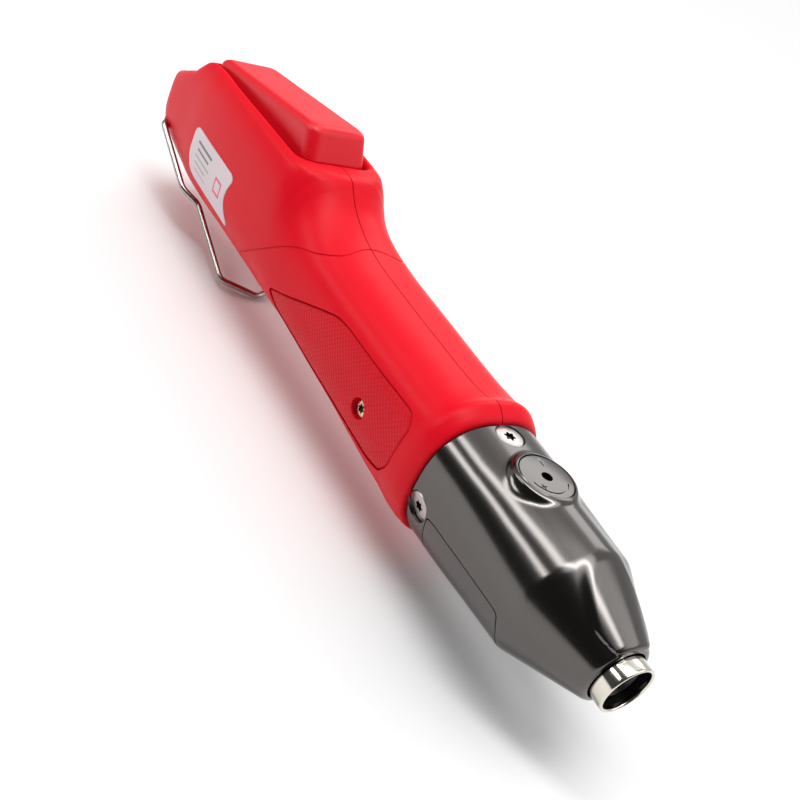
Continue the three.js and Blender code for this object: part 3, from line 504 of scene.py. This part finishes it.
def lathe(name, profile, axis="X", centre=(0, 0, 0), segments=64, ring=False):
    """Solid of revolution: profile is (along, radius) pairs from axis to axis, or a closed ring."""
    points, rows = [], []
    for along, r in profile:
        if r == 0:
            rows.append([len(points)] * segments)
            points.append((along, 0, 0))
            continue
        rows.append([len(points) + k for k in range(segments)])
        for k in range(segments):
            t = 2 * math.pi * k / segments
            points.append((along, r * math.cos(t), r * math.sin(t)))
    if ring:
        rows.append(rows[0])
    faces = []
    for upper, lower in zip(rows, rows[1:]):
        for k in range(segments):
            j = (k + 1) % segments
            face = [upper[k], upper[j], lower[j], lower[k]]
            faces.append([v for i, v in enumerate(face) if v != face[i - 1]])
    turned = {"X": (0, 1, 2), "Y": (2, 0, 1), "Z": (1, 2, 0)}[axis]
    moved = [tuple(p[turned[i]] + centre[i] for i in range(3)) for p in points]
    return new_object(name, moved, faces)


def prism(name, outline, low, high, axis="Z", centre=(0, 0, 0)):
    """A flat outline pushed along an axis; the outline is in the two axes that follow it."""
    n = len(outline)
    turned = {"X": (0, 1, 2), "Y": (2, 0, 1), "Z": (1, 2, 0)}[axis]
    raw = [(low, a, b) for a, b in outline] + [(high, a, b) for a, b in outline]
    points = [tuple(p[turned[i]] + centre[i] for i in range(3)) for p in raw]
    sides = [(k, (k + 1) % n, n + (k + 1) % n, n + k) for k in range(n)]
    return new_object(name, points, [tuple(range(n))[::-1], tuple(range(n, 2 * n)), *sides])


def tube(name, path, radius, sides=16):
    """A round wire along points in mm."""
    p = [Vector(q) for q in path]
    points = []
    up = Vector((0.1, 0.2, 1.0))
    for i, q in enumerate(p):
        along = (p[min(i + 1, len(p) - 1)] - p[max(i - 1, 0)]).normalized()
        side = along.cross(up).normalized()
        up = side.cross(along).normalized()
        for k in range(sides):
            t = 2 * math.pi * k / sides
            points.append(tuple(q + side * radius * math.cos(t) + up * radius * math.sin(t)))
    faces = [tuple(range(sides))[::-1], tuple(range(len(points) - sides, len(points)))]
    for i in range(len(p) - 1):
        for k in range(sides):
            j = (k + 1) % sides
            faces.append((i * sides + k, i * sides + j, (i + 1) * sides + j, (i + 1) * sides + k))
    return new_object(name, points, faces)


def boolean(target, other, operation="DIFFERENCE"):
    """Cuts, joins or intersects with another closed mesh, which is used up."""
    modifier = target.modifiers.new("cut", "BOOLEAN")
    modifier.operation = operation
    modifier.solver = "MANIFOLD"
    modifier.object = other
    bpy.context.view_layer.update()
    graph = bpy.context.evaluated_depsgraph_get()
    mesh = bpy.data.meshes.new_from_object(target.evaluated_get(graph))
    target.modifiers.clear()
    target.data = mesh
    bpy.data.objects.remove(other)
    return target


def copy_of(obj, name):
    """A second object with a mesh of its own."""
    twin = obj.copy()
    twin.data = obj.data.copy()
    twin.name = name
    bpy.context.scene.collection.objects.link(twin)
    return twin


def mirrored(obj, name):
    """A copy on the other flank."""
    twin = copy_of(obj, name)
    twin.data.transform(Matrix.Scale(-1, 4, (0, 1, 0)))
    twin.data.flip_normals()
    return twin


def finish_piece(obj, nodes, body, material, crease=38, second=None):
    """Smooth shading with crisp edges, its materials, and the CAD nodes that the piece stands for."""
    mesh = obj.data
    mesh.polygons.foreach_set("use_smooth", np.ones(len(mesh.polygons), bool))
    mesh.set_sharp_from_angle(angle=math.radians(crease))
    looks = np.zeros(len(mesh.polygons), np.int32)
    mesh.polygons.foreach_get("material_index", looks)
    mesh.materials.clear()
    mesh.materials.append(material)
    if second:
        mesh.materials.append(second)
        mesh.polygons.foreach_set("material_index", looks)
    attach(obj, body)
    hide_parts(*nodes)
    return obj


# ---- materials ----
def surface(name, colour, roughness, metallic=0.0, tint=0.06, grain=(900, 0.0), wear=(60, 0.05),
            shine=0.5, pits=(0, 0.0), stretch=(1, 1, 1)):
    """Principled material with a colour shift, roughness that varies, fine grain and rows of pits.

    grain, wear and pits are (scale per metre, strength); stretch draws the grain out along an axis;
    the pits lie on the diagonals of a grid over the flank.
    """
    mat = bpy.data.materials.new(name)
    mat.use_nodes = True
    nodes, links = mat.node_tree.nodes, mat.node_tree.links
    shader = nodes["Principled BSDF"]
    shader.inputs["Metallic"].default_value = metallic
    shader.inputs["Specular IOR Level"].default_value = shine
    place = nodes.new("ShaderNodeTexCoord")
    drawn = nodes.new("ShaderNodeMapping")
    drawn.inputs["Scale"].default_value = stretch
    links.new(place.outputs["Object"], drawn.inputs["Vector"])

    cloud = nodes.new("ShaderNodeTexNoise")
    cloud.inputs["Scale"].default_value = wear[0]
    cloud.inputs["Detail"].default_value = 5
    links.new(drawn.outputs["Vector"], cloud.inputs["Vector"])
    paint = nodes.new("ShaderNodeMix")
    paint.data_type = "RGBA"
    darker = [c * (1 - tint) for c in colour]
    lighter = [min(1, c * (1 + tint)) for c in colour]
    paint.inputs["A"].default_value = (*darker, 1)
    paint.inputs["B"].default_value = (*lighter, 1)
    links.new(cloud.outputs["Fac"], paint.inputs["Factor"])
    links.new(paint.outputs["Result"], shader.inputs["Base Color"])
    spread = nodes.new("ShaderNodeMapRange")
    spread.inputs["To Min"].default_value = max(0.02, roughness - wear[1])
    spread.inputs["To Max"].default_value = roughness + wear[1]
    links.new(cloud.outputs["Fac"], spread.inputs["Value"])
    links.new(spread.outputs["Result"], shader.inputs["Roughness"])

    last = None
    if grain[1]:
        fine = nodes.new("ShaderNodeTexNoise")
        fine.inputs["Scale"].default_value = grain[0]
        fine.inputs["Detail"].default_value = 3
        links.new(drawn.outputs["Vector"], fine.inputs["Vector"])
        last = nodes.new("ShaderNodeBump")
        last.inputs["Strength"].default_value = grain[1]
        last.inputs["Distance"].default_value = 0.0002
        links.new(fine.outputs["Fac"], last.inputs["Height"])
    if pits[1]:
        flank = nodes.new("ShaderNodeMapping")
        flank.inputs["Rotation"].default_value = (math.pi / 2, 0, math.pi / 4)
        links.new(place.outputs["Object"], flank.inputs["Vector"])
        cell = nodes.new("ShaderNodeTexVoronoi")
        cell.voronoi_dimensions = "2D"
        cell.inputs["Scale"].default_value = pits[0]
        cell.inputs["Randomness"].default_value = 0
        links.new(flank.outputs["Vector"], cell.inputs["Vector"])
        deep = nodes.new("ShaderNodeBump")
        deep.inputs["Strength"].default_value = pits[1]
        deep.inputs["Distance"].default_value = 0.0006
        links.new(cell.outputs["Distance"], deep.inputs["Height"])
        if last:
            links.new(last.outputs["Normal"], deep.inputs["Normal"])
        last = deep
    if last:
        links.new(last.outputs["Normal"], shader.inputs["Normal"])
    return mat


RED = (0.72, 0.005, 0.016)
red_plastic = surface("red_plastic", RED, 0.36, tint=0.04, grain=(2600, 0.05), shine=0.1)
lever_plastic = surface("lever_plastic", RED, 0.36, tint=0.04, grain=(2600, 0.08), shine=0.35)
grip_plastic = surface("grip_plastic", (0.66, 0.005, 0.015), 0.42, grain=(3200, 0.1), pits=(800, 0.35),
                       shine=0.12)
black_nickel = surface("black_nickel", (0.126, 0.118, 0.113), 0.19, 1.0, tint=0.06, grain=(2400, 0.03),
                       wear=(70, 0.035), stretch=(0.25, 1, 1))
bright_nickel = surface("bright_nickel", (0.72, 0.68, 0.60), 0.13, 1.0, grain=(900, 0.02),
                        wear=(160, 0.03))
zinc = surface("zinc_screw", (0.50, 0.48, 0.46), 0.32, 1.0, grain=(2600, 0.12), wear=(700, 0.08))
yellow_zinc = surface("yellow_zinc", (0.72, 0.58, 0.36), 0.28, 1.0, grain=(2600, 0.1), wear=(700, 0.06))
steel = surface("steel", (0.40, 0.385, 0.37), 0.2, 1.0, grain=(1200, 0.05), wear=(260, 0.05),
                stretch=(0.2, 1, 1))
# Dark steel; it is also laid on the screw sockets, the sleeve's inner wall and the spindle as painted
# shade.
dark_steel = surface("dark_steel", (0.045, 0.043, 0.042), 0.42, 1.0, grain=(1800, 0.15))
brass = surface("brass", (0.72, 0.50, 0.22), 0.3, 1.0, grain=(1500, 0.1))
copper = surface("copper", (0.75, 0.36, 0.20), 0.34, 1.0, grain=(1500, 0.2))
black_plastic = surface("black_plastic", (0.018, 0.018, 0.02), 0.45, grain=(2200, 0.2))
board_green = surface("board_green", (0.03, 0.20, 0.07), 0.4, grain=(800, 0.2))
red_wire = surface("red_insulation", (0.55, 0.02, 0.03), 0.5, grain=(2200, 0.1))


def label_film():
    """White film with plain printed bars and an open square: no lettering."""
    mat = surface("label_film", (0.72, 0.63, 0.66), 0.42, tint=0.02, grain=(3000, 0.05))
    nodes, links = mat.node_tree.nodes, mat.node_tree.links
    shader = nodes["Principled BSDF"]
    place = nodes.new("ShaderNodeTexCoord")
    split = nodes.new("ShaderNodeSeparateXYZ")
    links.new(place.outputs["Object"], split.inputs["Vector"])

    def near(output, centre, half):
        compare = nodes.new("ShaderNodeMath")
        compare.operation = "COMPARE"
        compare.inputs[1].default_value = centre
        compare.inputs[2].default_value = half
        links.new(output, compare.inputs[0])
        return compare.outputs[0]

    def combine(operation, a, b):
        node = nodes.new("ShaderNodeMath")
        node.operation = operation
        links.new(a, node.inputs[0])
        links.new(b, node.inputs[1])
        return node.outputs[0]

    def bar(x0, x1, z, height):
        along = near(split.outputs["X"], (x0 + x1) / 2 * MM + AXIS[0], (x1 - x0) / 2 * MM)
        across = near(split.outputs["Z"], z * MM + AXIS[2], height / 2 * MM)
        return combine("MULTIPLY", along, across)

    def over(mask, ink):
        previous = shader.inputs["Base Color"].links[0].from_socket
        mix = nodes.new("ShaderNodeMix")
        mix.data_type = "RGBA"
        mix.inputs["B"].default_value = (*ink, 1)
        links.new(previous, mix.inputs["A"])
        links.new(mask, mix.inputs["Factor"])
        links.new(mix.outputs["Result"], shader.inputs["Base Color"])

    grey = (0.16, 0.15, 0.16)
    pale = (0.42, 0.38, 0.41)
    lines = [
        (-232, -219, 4.4, 1.0, grey), (-231, -220.5, 2.0, 0.8, grey), (-232, -218.5, -0.4, 0.7, pale),
        (-231, -221, -2.7, 0.7, pale), (-230, -219.5, -4.9, 0.5, pale),
    ]
    for x0, x1, z, height, ink in lines:
        over(bar(x0, x1, z, height), ink)
    outer = bar(-213, -207.4, -0.6, 5.6)
    inner = bar(-212.1, -208.3, -0.6, 3.8)
    over(combine("SUBTRACT", outer, inner), (0.80, 0.12, 0.20))
    return mat


printed_film = label_film()


# ---- pieces ----
def cylinder(name, axis, low, high, radius, centre, segments=48):
    """A plain round rod along an axis."""
    return lathe(name, [(low, 0), (low, radius), (high, radius), (high, 0)], axis, centre, segments)


def countersunk(name, head_r, head_depth, shank_r, length, recess):
    """A countersunk six-lobe screw along +Z, its face at z = 0."""
    profile = [(0, 0), (0, head_r - 0.5), (-0.12, head_r - 0.16), (-0.35, head_r), (-head_depth, shank_r),
               (-length, shank_r), (-length, 0)]
    screw = lathe(name, profile, "Z", segments=72)

    def lobe(t):
        r = recess * (0.83 + 0.17 * math.cos(6 * t))
        return r * math.cos(t), r * math.sin(t)

    lobes = [lobe(2 * math.pi * k / 72) for k in range(72)]
    deepest = -head_depth * 0.85
    funnel = [(deepest, 0), (-head_depth * 0.5, recess * 0.8), (0.5, recess * 1.2), (0.5, 0)]
    floor = lathe("recess_floor", funnel, "Z", segments=36)
    socket = boolean(prism("socket", lobes, deepest, 0.4, "Z"), floor, "INTERSECT")
    boolean(screw, socket)
    # Faces deep in the six-lobe socket take the second material, dark steel, as painted shade in the
    # recess.
    for face in screw.data.polygons:
        middle = (np.array(face.center) - AXIS) / MM
        face.material_index = int(middle[2] < -0.15 and math.hypot(*middle[:2]) < recess * 1.02)
    return screw


def place_in_frame(obj, matrix):
    """Moves a mesh made about the tool's origin by a matrix in mm."""
    to_row = Matrix.Translation(Vector(AXIS))
    scaled = matrix.copy()
    scaled.translation = matrix.translation * MM
    obj.data.transform(to_row @ scaled @ to_row.inverted())
    return obj


def radial(angle, x, r):
    """Places a piece on the head at an angle from the top, facing outwards."""
    turn = Matrix.Rotation(math.radians(angle), 4, "X")
    return Matrix.Translation((x, 0, 0)) @ turn @ Matrix.Translation((0, 0, r))


def facing_y(side, x, y, z):
    """Places a piece so that it faces the tool's left (1) or right (-1)."""
    turn = Matrix.Rotation(math.radians(-90 if side > 0 else 90), 4, "X")
    return Matrix.Translation((x, y, z)) @ turn


def panel_groove():
    """Thin wire laid in the skin along the moulded line, on both flanks and over the top."""
    half = smooth_path(PANEL_LINE, 16)
    path = half + [(x, -y, z) for x, y, z in reversed(half[:-1])]
    on_skin = settle(skin_field, path, 3.0, 5)
    return tube("groove", on_skin.tolist(), 0.3, 8)


def hollow_shell():
    """The whole housing, hollow, with its holes and the line round it."""
    step = 0.55
    shell = polygonise("shell", housing_field, *HOUSING_BOX, step)
    cavity = polygonise("cavity", cavity_field, *CAVITY_BOX, 1.5)
    for x, z in (TAIL_SCREW, MID_SCREW):
        boolean(cavity, cylinder("post", "Y", -25, 25, POST_R, (x, 0, z)))
    boolean(shell, cavity)
    bail_centre = (BAIL_PIVOT[0], 0, BAIL_PIVOT[1])
    lever_centre = (LEVER_PIVOT[0], 0, LEVER_PIVOT[1])
    boolean(shell, cylinder("tail_hole", "X", TAIL_X - 3, -262, INLET_HOLE_R, (0, 0, INLET_Z)))
    boolean(shell, cylinder("bail_hole", "Y", -24, 24, BAIL_HOLE_R, bail_centre))
    boolean(shell, cylinder("pin_hole", "Y", -15.2, 15.2, PIN_HOLE_R, lever_centre))
    boolean(shell, cylinder("plunger_hole", "Z", 11, 17, PLUNGER_HOLE_R, (SWITCH_X, 0, 0)))
    return boolean(shell, panel_groove())


def screw_seat(x, z, depth):
    """Room for a closing screw's shank and head in the left half."""
    seat = [(0, 0), (0, SCREW_HOLE_R), (depth - 2, SCREW_HOLE_R), (depth - 1, SCREW_SINK_R),
            (depth + 12, SCREW_SINK_R), (depth + 12, 0)]
    return lathe("screw_seat", seat, "Y", (x, 0, z), 32)


def make_housing():
    """Two half shells, with beds for the pads and the label and holes for the screws."""
    right = hollow_shell()
    left = copy_of(right, "shell_left")
    whole = [(-30, -300), (50, -300), (50, 0), (-30, 0)]
    boolean(right, prism("right_side", whole, -40, -SEAM, "Y"), "INTERSECT")
    boolean(left, prism("left_side", whole, SEAM, 40, "Y"), "INTERSECT")
    pad_room = bed(pad_plan, skin_field, PAD_GAP, PAD_DEPTH + BED_GAP)
    label_room = bed(label_plan, skin_field, BED_GAP, LABEL_DEPTH + BED_GAP)
    pad_bed = polygonise("pad_bed", pad_room, *PAD_BOX, 0.5)
    label_bed = polygonise("label_bed", label_room, *LABEL_BOX, 0.4)
    boolean(left, mirrored(pad_bed, "pad_bed_left"))
    boolean(right, pad_bed)
    boolean(right, label_bed)
    boolean(right, cylinder("pad_screw_hole", "Y", -30, -5, 2.9, (PAD_SCREW[0], 0, PAD_SCREW[1])))
    for (x, z), depth in ((TAIL_SCREW, 12), (MID_SCREW, 13)):
        boolean(right, cylinder("pilot", "Y", -9, 0, SCREW_HOLE_R, (x, 0, z)))
        boolean(left, screw_seat(x, z, depth))
    finish_piece(right, ["housing_right"], "body", red_plastic, 30)
    finish_piece(left, ["housing_left"], "body", red_plastic, 30)
    right.name, left.name = "right_shell", "left_shell"


def make_grips():
    """The pads on both flanks of the neck, with a well for the screw in the right one."""
    step = 0.33
    pad = polygonise("right_grip", inlay(pad_plan, skin_field, -PAD_SUNK, PAD_DEPTH, 0.9), *PAD_BOX, step)
    left = mirrored(pad, "left_grip")
    boolean(pad, cylinder("well", "Y", -30, -5, 3.2, (PAD_SCREW[0], 0, PAD_SCREW[1])))
    finish_piece(pad, ["grip_pad_right"], "body", grip_plastic, 50)
    finish_piece(left, ["grip_pad_left"], "body", grip_plastic, 50)


def make_label():
    """The film on the right flank."""
    layer = inlay(label_plan, skin_field, LABEL_PROUD, LABEL_DEPTH, 0.12)
    film = polygonise("label", layer, *LABEL_BOX, 0.3)
    finish_piece(film, ["rating_label"], "body", printed_film, 50)


def cover_sides(name, gap):
    """The cover's outline pushed through the head, grown by a gap."""
    outline = [(z + gap, x + math.copysign(gap, x + 45)) for x, z in rounded(COVER, 1.2)]
    return prism(name, outline, -30, 30, "Y")


def head_core(name, depth):
    """What lies deeper than a given depth under the head's skin."""
    def field(x, y, z):
        return head_field(x, y, z) + depth

    return polygonise(name, field, *HEAD_BOX, 0.9)


def make_head():
    """The casting with its bores, the cover let into its underside and its three screws."""
    step = 0.38
    head = polygonise("gear_head", head_field, *HEAD_BOX, step)
    bore = [(JOINT_X - 1, 0), (JOINT_X - 1, 15.8), (-59.5, 15.8), (-59.5, 13.6), (-44, 13.6), (-42, 12),
            (-31, 12), (-31, 9.05), (-24.4, 9.05), (-24.4, 8.1), (0, 8.1), (0, 0)]
    cover = boolean(copy_of(head, "underside_cover"), cover_sides("cover_cut", 0), "INTERSECT")
    boolean(cover, head_core("cover_core", COVER_DEPTH))
    room = boolean(cover_sides("cover_room", COVER_GAP), head_core("room_core", COVER_DEPTH + BED_GAP))
    boolean(head, room)
    boolean(head, lathe("bore", bore, segments=96))
    boolean(head, cylinder("dial_room", "Z", DIAL_TOP - 1.7, 24, DIAL_R + 0.12, (DIAL_X, 0, 0), 96))
    boolean(head, cylinder("stem_room", "Z", 15.5, 20, 4.75, (DIAL_X, 0, 0)))
    boolean(head, cylinder("pin_room", "Z", 10, 20, 3.2, (DIAL_X, 0, 0)))
    for name, (angle, r) in HEAD_SCREW_SPOTS.items():
        sink = [(6, 0), (6, 4.38), (-0.3, 4.35), (-2.5, 2.2), (-9, 2.2), (-9, 0)]
        seat = lathe("seat", sink, "Z", segments=72)
        boolean(head, place_in_frame(seat, radial(angle, HEAD_SCREW_X, r)))
        screw = countersunk("head_screw_" + name + "_look", 4.1, 2.3, 2, 3.6, 1.75)
        place_in_frame(screw, radial(angle, HEAD_SCREW_X, r - 0.1))
        finish_piece(screw, ["head_screw_" + name], "body", zinc, 25, dark_steel)
    finish_piece(head, ["head_casting"], "body", black_nickel, 30)
    finish_piece(cover, ["head_cover"], "body", black_nickel, 40)


def make_dial():
    """The disc on the boss, marked with an arc, a minus and a plus."""
    top = DIAL_TOP
    profile = [(top - 1.6, 0), (top - 1.6, DIAL_R), (top - 0.45, DIAL_R), (top - 0.2, DIAL_R - 0.07),
               (top - 0.04, DIAL_R - 0.28), (top, DIAL_R - 0.5), (top, 0)]
    disc = lathe("dial", profile, "Z", (DIAL_X, 0, 0), 96)
    boolean(disc, cylinder("hole", "Z", 10, 24, 1.6, (DIAL_X, 0, 0)))
    mark = top - 0.25
    arc = [(r * math.cos(t), r * math.sin(t))
           for r, turns in ((6.15, range(25)), (5.7, range(24, -1, -1)))
           for t in (math.radians(-75 + 135 * k / 24) for k in turns)]
    half, thin = 1.0, 0.2
    minus = [(-half, -thin), (half, -thin), (half, thin), (-half, thin)]
    plus = [(-half, -thin), (-thin, -thin), (-thin, -half), (thin, -half), (thin, -thin), (half, -thin),
            (half, thin), (thin, thin), (thin, half), (-thin, half), (-thin, thin), (-half, thin)]
    boolean(disc, prism("arc", arc, mark, 24, "Z", (DIAL_X, 0, 0)))
    boolean(disc, prism("minus", minus, mark, 24, "Z", (DIAL_X - 4.6, 1.6, 0)))
    boolean(disc, prism("plus", plus, mark, 24, "Z", (DIAL_X + 3.4, -3.6, 0)))
    finish_piece(disc, ["dial_plate"], "body", black_nickel, 25)


def make_nose():
    """The spring sleeve with painted shade (dark steel) on its inner wall, and the spindle's hex socket
    inside it.
    """
    outer = [(-14, 5.6), (-14, SLEEVE_R - 0.3), (-13.6, SLEEVE_R), (-0.95, SLEEVE_R)]
    lip = [(-0.47 + 0.47 * math.sin(t), SLEEVE_R - 0.47 + 0.47 * math.cos(t))
           for t in (math.radians(180 * k / 12) for k in range(13))]
    inner = [(-1.0, SLEEVE_R - 0.93), (-1.3, SLEEVE_HOLLOW_R), (-7.7, SLEEVE_HOLLOW_R), (-12.5, 5.55)]
    sleeve = lathe("sleeve", outer + lip + inner, segments=96, ring=True)
    # Faces of the hollow behind the lip take the second material, dark steel, as painted shade inside the
    # sleeve.
    for face in sleeve.data.polygons:
        middle = (np.array(face.center) - AXIS) / MM
        face.material_index = int(middle[0] < -1.4 and math.hypot(*middle[1:]) < SLEEVE_HOLLOW_R + 0.15)
    finish_piece(sleeve, ["nose_sleeve"], "sleeve", bright_nickel, 40, dark_steel)
    profile = [(-35, 0), (-35, 10), (-31.6, 10), (-31.6, 5.4), (-24.1, 5.4), (-24.1, 6.9), (-22.6, 6.9),
               (-22.6, 5.4), (-3.4, 5.4), (-2.9, 5.15), (-2.6, 4.7), (-2.6, 0)]
    spindle = lathe("spindle", profile, segments=72)
    boolean(spindle, cylinder("back", "X", -36, -32.4, 4.4, (0, 0, 0)))
    across = HEX_FLATS / math.sqrt(3)
    hexagon = [(across * math.cos(k * math.pi / 3), across * math.sin(k * math.pi / 3)) for k in range(6)]
    boolean(spindle, prism("hex", hexagon, -19, 0, "X"))
    lead_in = lathe("lead_in", [(-3.6, 0), (-3.6, 3.2), (-2.4, 4.4), (-2.4, 0)], segments=48)
    boolean(spindle, lead_in)
    boolean(spindle, cylinder("ball_hole", "Y", 2, 7, 1.3, (-11.3, 0, 0), 24))
    # The spindle takes dark steel as painted shade, so the hollow nose stays dark.
    finish_piece(spindle, ["output_spindle"], "output", dark_steel, 30)


def make_lever():
    """The press lever, with posts inside for the switch plunger and the spring."""
    step = 0.5
    lever = polygonise("press_lever", lever_field, *LEVER_BOX, step)
    boolean(lever, cylinder("plunger_post", "Z", 24.8, 33, 2.3, (SWITCH_X, 0, 0)), "UNION")
    boolean(lever, cylinder("spring_post", "Z", 24, 35, 4, (LEVER_SPRING_X, 0, 0)), "UNION")
    boolean(lever, cylinder("pin", "Y", -14, 14, 1.65, (LEVER_PIVOT[0], 0, LEVER_PIVOT[1])))
    finish_piece(lever, ["lever"], "lever", lever_plastic, 35)


def make_bail():
    """The bent wire, half of it mirrored; u runs along its arms from the pivot."""
    slope = math.radians(19)
    arm, jog, lower, tip = 31, 6.3, 32.5, 6
    wide, narrow, wire_r = 17.2, 12.8, 1.1

    def at(u, y):
        return (BAIL_PIVOT[0] + u * math.cos(slope), y, BAIL_PIVOT[1] - u * math.sin(slope))

    end = arm + jog + lower
    half = [at(0, wide - 4.2), at(0, wide), at(arm, wide), at(arm + jog, narrow), at(end, narrow)]
    corners = half + [at(end + tip, 0)] + [(x, -y, z) for x, y, z in reversed(half)]
    path = [corners[0]]
    for before, corner, after in zip(corners, corners[1:], corners[2:]):
        a, b, c = Vector(before), Vector(corner), Vector(after)
        first = b + (a - b).normalized() * 2.2
        last = b + (c - b).normalized() * 2.2
        for k in range(9):
            t = k / 8
            path.append(tuple(first * (1 - t) ** 2 + b * 2 * t * (1 - t) + last * t * t))
    path.append(corners[-1])
    wire = tube("wire_bail", path, wire_r, 20)
    finish_piece(wire, ["bail"], "bail", steel, 50)


def make_small_screws():
    """The screw in the right pad and the two that close the housing from the left."""
    pad = countersunk("pad_screw", 2.65, 1.2, 1.3, 2.9, 1.5)
    place_in_frame(pad, facing_y(-1, PAD_SCREW[0], -17.9, PAD_SCREW[1]))
    finish_piece(pad, ["grip_screw"], "body", yellow_zinc, 25, dark_steel)
    for name, (x, z), y in (("tail_screw", TAIL_SCREW, 12.2), ("mid_screw", MID_SCREW, 13.2)):
        screw = countersunk(name + "_look", 2.5, 1.4, 1.2, 17, 1.35)
        place_in_frame(screw, facing_y(1, x, y, z))
        finish_piece(screw, [name], "body", zinc, 25, dark_steel)


def make_inlet():
    """The round power socket in the tail, with a pin in its middle."""
    profile = [(-262.5, 0), (-262.5, 5), (-266.8, 5), (-266.8, 7.2), (-269.2, 7.2), (-269.2, 6),
               (-272.6, 6), (-272.9, 5.85), (-273, 5.6), (-273, 3.6), (-272.8, 3.3), (-272.4, 3.2),
               (-264, 3.2), (-264, 1.0), (-272.2, 1.0), (-272.7, 0.8), (-272.9, 0.4), (-272.9, 0)]
    inlet = lathe("inlet", profile, centre=(0, 0, INLET_Z), segments=48)
    finish_piece(inlet, ["power_inlet"], "body", black_plastic, 35)


NODE_LOOKS = {
    "black_nickel": black_nickel, "nickel": bright_nickel, "zinc_screw": zinc, "yellow_zinc": yellow_zinc,
    "steel": steel, "dark_steel": dark_steel, "brass": brass, "copper": copper, "red_plastic": red_plastic,
    "grip_plastic": grip_plastic, "black_plastic": black_plastic, "board_green": board_green,
    "red_insulation": red_wire, "label_film": printed_film,
}


def dress_cad_nodes():
    """Every CAD node takes the procedural material of its slot, and the bail bushes take the red plastic.
    """
    for entry in frame["record"]["subparts"]:
        mesh = frame["nodes"][entry["node"]].data
        mesh.materials.clear()
        mesh.materials.append(NODE_LOOKS[entry["material_slot"]])
    for side in ("right", "left"):
        bush = frame["nodes"]["bail_bush_" + side].data
        bush.materials.clear()
        bush.materials.append(red_plastic)


# ---- stage ----
def make_floor():
    """A pale floor under the tool."""
    mesh = bpy.data.meshes.new("floor")
    reach = 6.0
    corners = [(-reach, -reach, 0), (reach, -reach, 0), (reach, reach, 0), (-reach, reach, 0)]
    mesh.from_pydata(corners, [], [(0, 1, 2, 3)])
    floor = bpy.data.objects.new("floor", mesh)
    bpy.context.scene.collection.objects.link(floor)
    floor.location.z = cad_box[0][2] - 0.0005
    mesh.materials.append(surface("floor_paper", (0.80, 0.80, 0.80), 0.8, tint=0.005))


def softbox(name, direction, distance, size, radiance, along=(1, 0, 0), aim=(0, 0, 0)):
    """A rectangular studio light that faces a point in metres; its first size runs along a given way."""
    light = bpy.data.lights.new(name, "AREA")
    light.shape = "RECTANGLE"
    light.size, light.size_y = size
    light.energy = radiance * math.pi * size[0] * size[1]
    obj = bpy.data.objects.new(name, light)
    bpy.context.scene.collection.objects.link(obj)
    back = Vector(direction).normalized()
    side = Vector(along)
    side = (side - back * side.dot(back)).normalized()
    turned = Matrix((side, back.cross(side), back)).transposed().to_4x4()
    obj.matrix_world = Matrix.Translation(Vector(aim) + back * distance) @ turned
    obj.visible_camera = False


def make_lights():
    """Strips and panels over the tool and softer light from the front and rear, in a half-dark room."""
    softbox("main_strip", (-0.06, -0.17, 0.98), 1.3, (1.8, 0.25), 7.2, along=(0.80, 0.36, 0.12))
    softbox("side_strip", (-0.48, -0.68, 0.55), 1.3, (0.8, 0.18), 7.5, along=(1, 0, 0.45))
    softbox("ceiling", (-0.50, 0.20, 0.84), 1.5, (1.0, 1.3), 0.6)
    softbox("rear_key", (-0.82, -0.42, 0.40), 1.4, (0.8, 0.8), 0.6)
    softbox("key", (0.50, 0.50, 0.70), 1.4, (0.9, 0.9), 1.4)
    softbox("far_floor", (0, 0, 1), 1.3, (1.2, 1.2), 2.4, aim=(-1.1, 1.6, 0))
    make_room()


def make_room():
    """Surroundings that are pale overhead and to the tool's left and dark to its right."""
    world = bpy.data.worlds.new("studio")
    bpy.context.scene.world = world
    world.use_nodes = True
    nodes, links = world.node_tree.nodes, world.node_tree.links
    nodes["Background"].inputs["Color"].default_value = (1, 1, 1, 1)
    place = nodes.new("ShaderNodeTexCoord")
    split = nodes.new("ShaderNodeSeparateXYZ")
    links.new(place.outputs["Generated"], split.inputs["Vector"])
    glow = None
    for way, low, high, strength in (("Y", 0.15, 0.6, 0.65), ("Z", 0.90, 0.96, 3.0)):
        ramp = nodes.new("ShaderNodeMapRange")
        ramp.inputs["From Min"].default_value = low
        ramp.inputs["From Max"].default_value = high
        ramp.inputs["To Min"].default_value = 0.05
        ramp.inputs["To Max"].default_value = strength
        links.new(split.outputs[way], ramp.inputs["Value"])
        brighter = nodes.new("ShaderNodeMath")
        brighter.operation = "MAXIMUM"
        brighter.inputs[0].default_value = 0.05
        if glow:
            links.new(glow, brighter.inputs[0])
        links.new(ramp.outputs["Result"], brighter.inputs[1])
        glow = brighter.outputs[0]
    links.new(glow, nodes["Background"].inputs["Strength"])


def make_camera():
    """The view of the nose from above and the right, rolled as the tool lies across the frame."""
    right = Vector((0.462, 0.7915, 0.400)).normalized()
    up = Vector((-0.655, 0.0006, 0.755))
    up = (up - right * up.dot(right)).normalized()
    back = right.cross(up)
    camera = bpy.data.cameras.new("camera")
    camera.sensor_width = 36
    camera.lens = 50.15
    camera.clip_start = 0.01
    camera.clip_end = 50
    obj = bpy.data.objects.new("camera", camera)
    bpy.context.scene.collection.objects.link(obj)
    place = Vector((84.6, -197.4, 162.2)) * MM + Vector(AXIS)
    turned = Matrix((right, up, back)).transposed().to_4x4()
    obj.matrix_world = Matrix.Translation(place) @ turned
    bpy.context.scene.camera = obj


bpy.context.scene.view_settings.view_transform = "Standard"
make_camera()
make_floor()
make_lights()
make_housing()
make_grips()
make_label()
make_head()
make_dial()
make_nose()
make_lever()
make_bail()
make_small_screws()
make_inlet()
dress_cad_nodes()
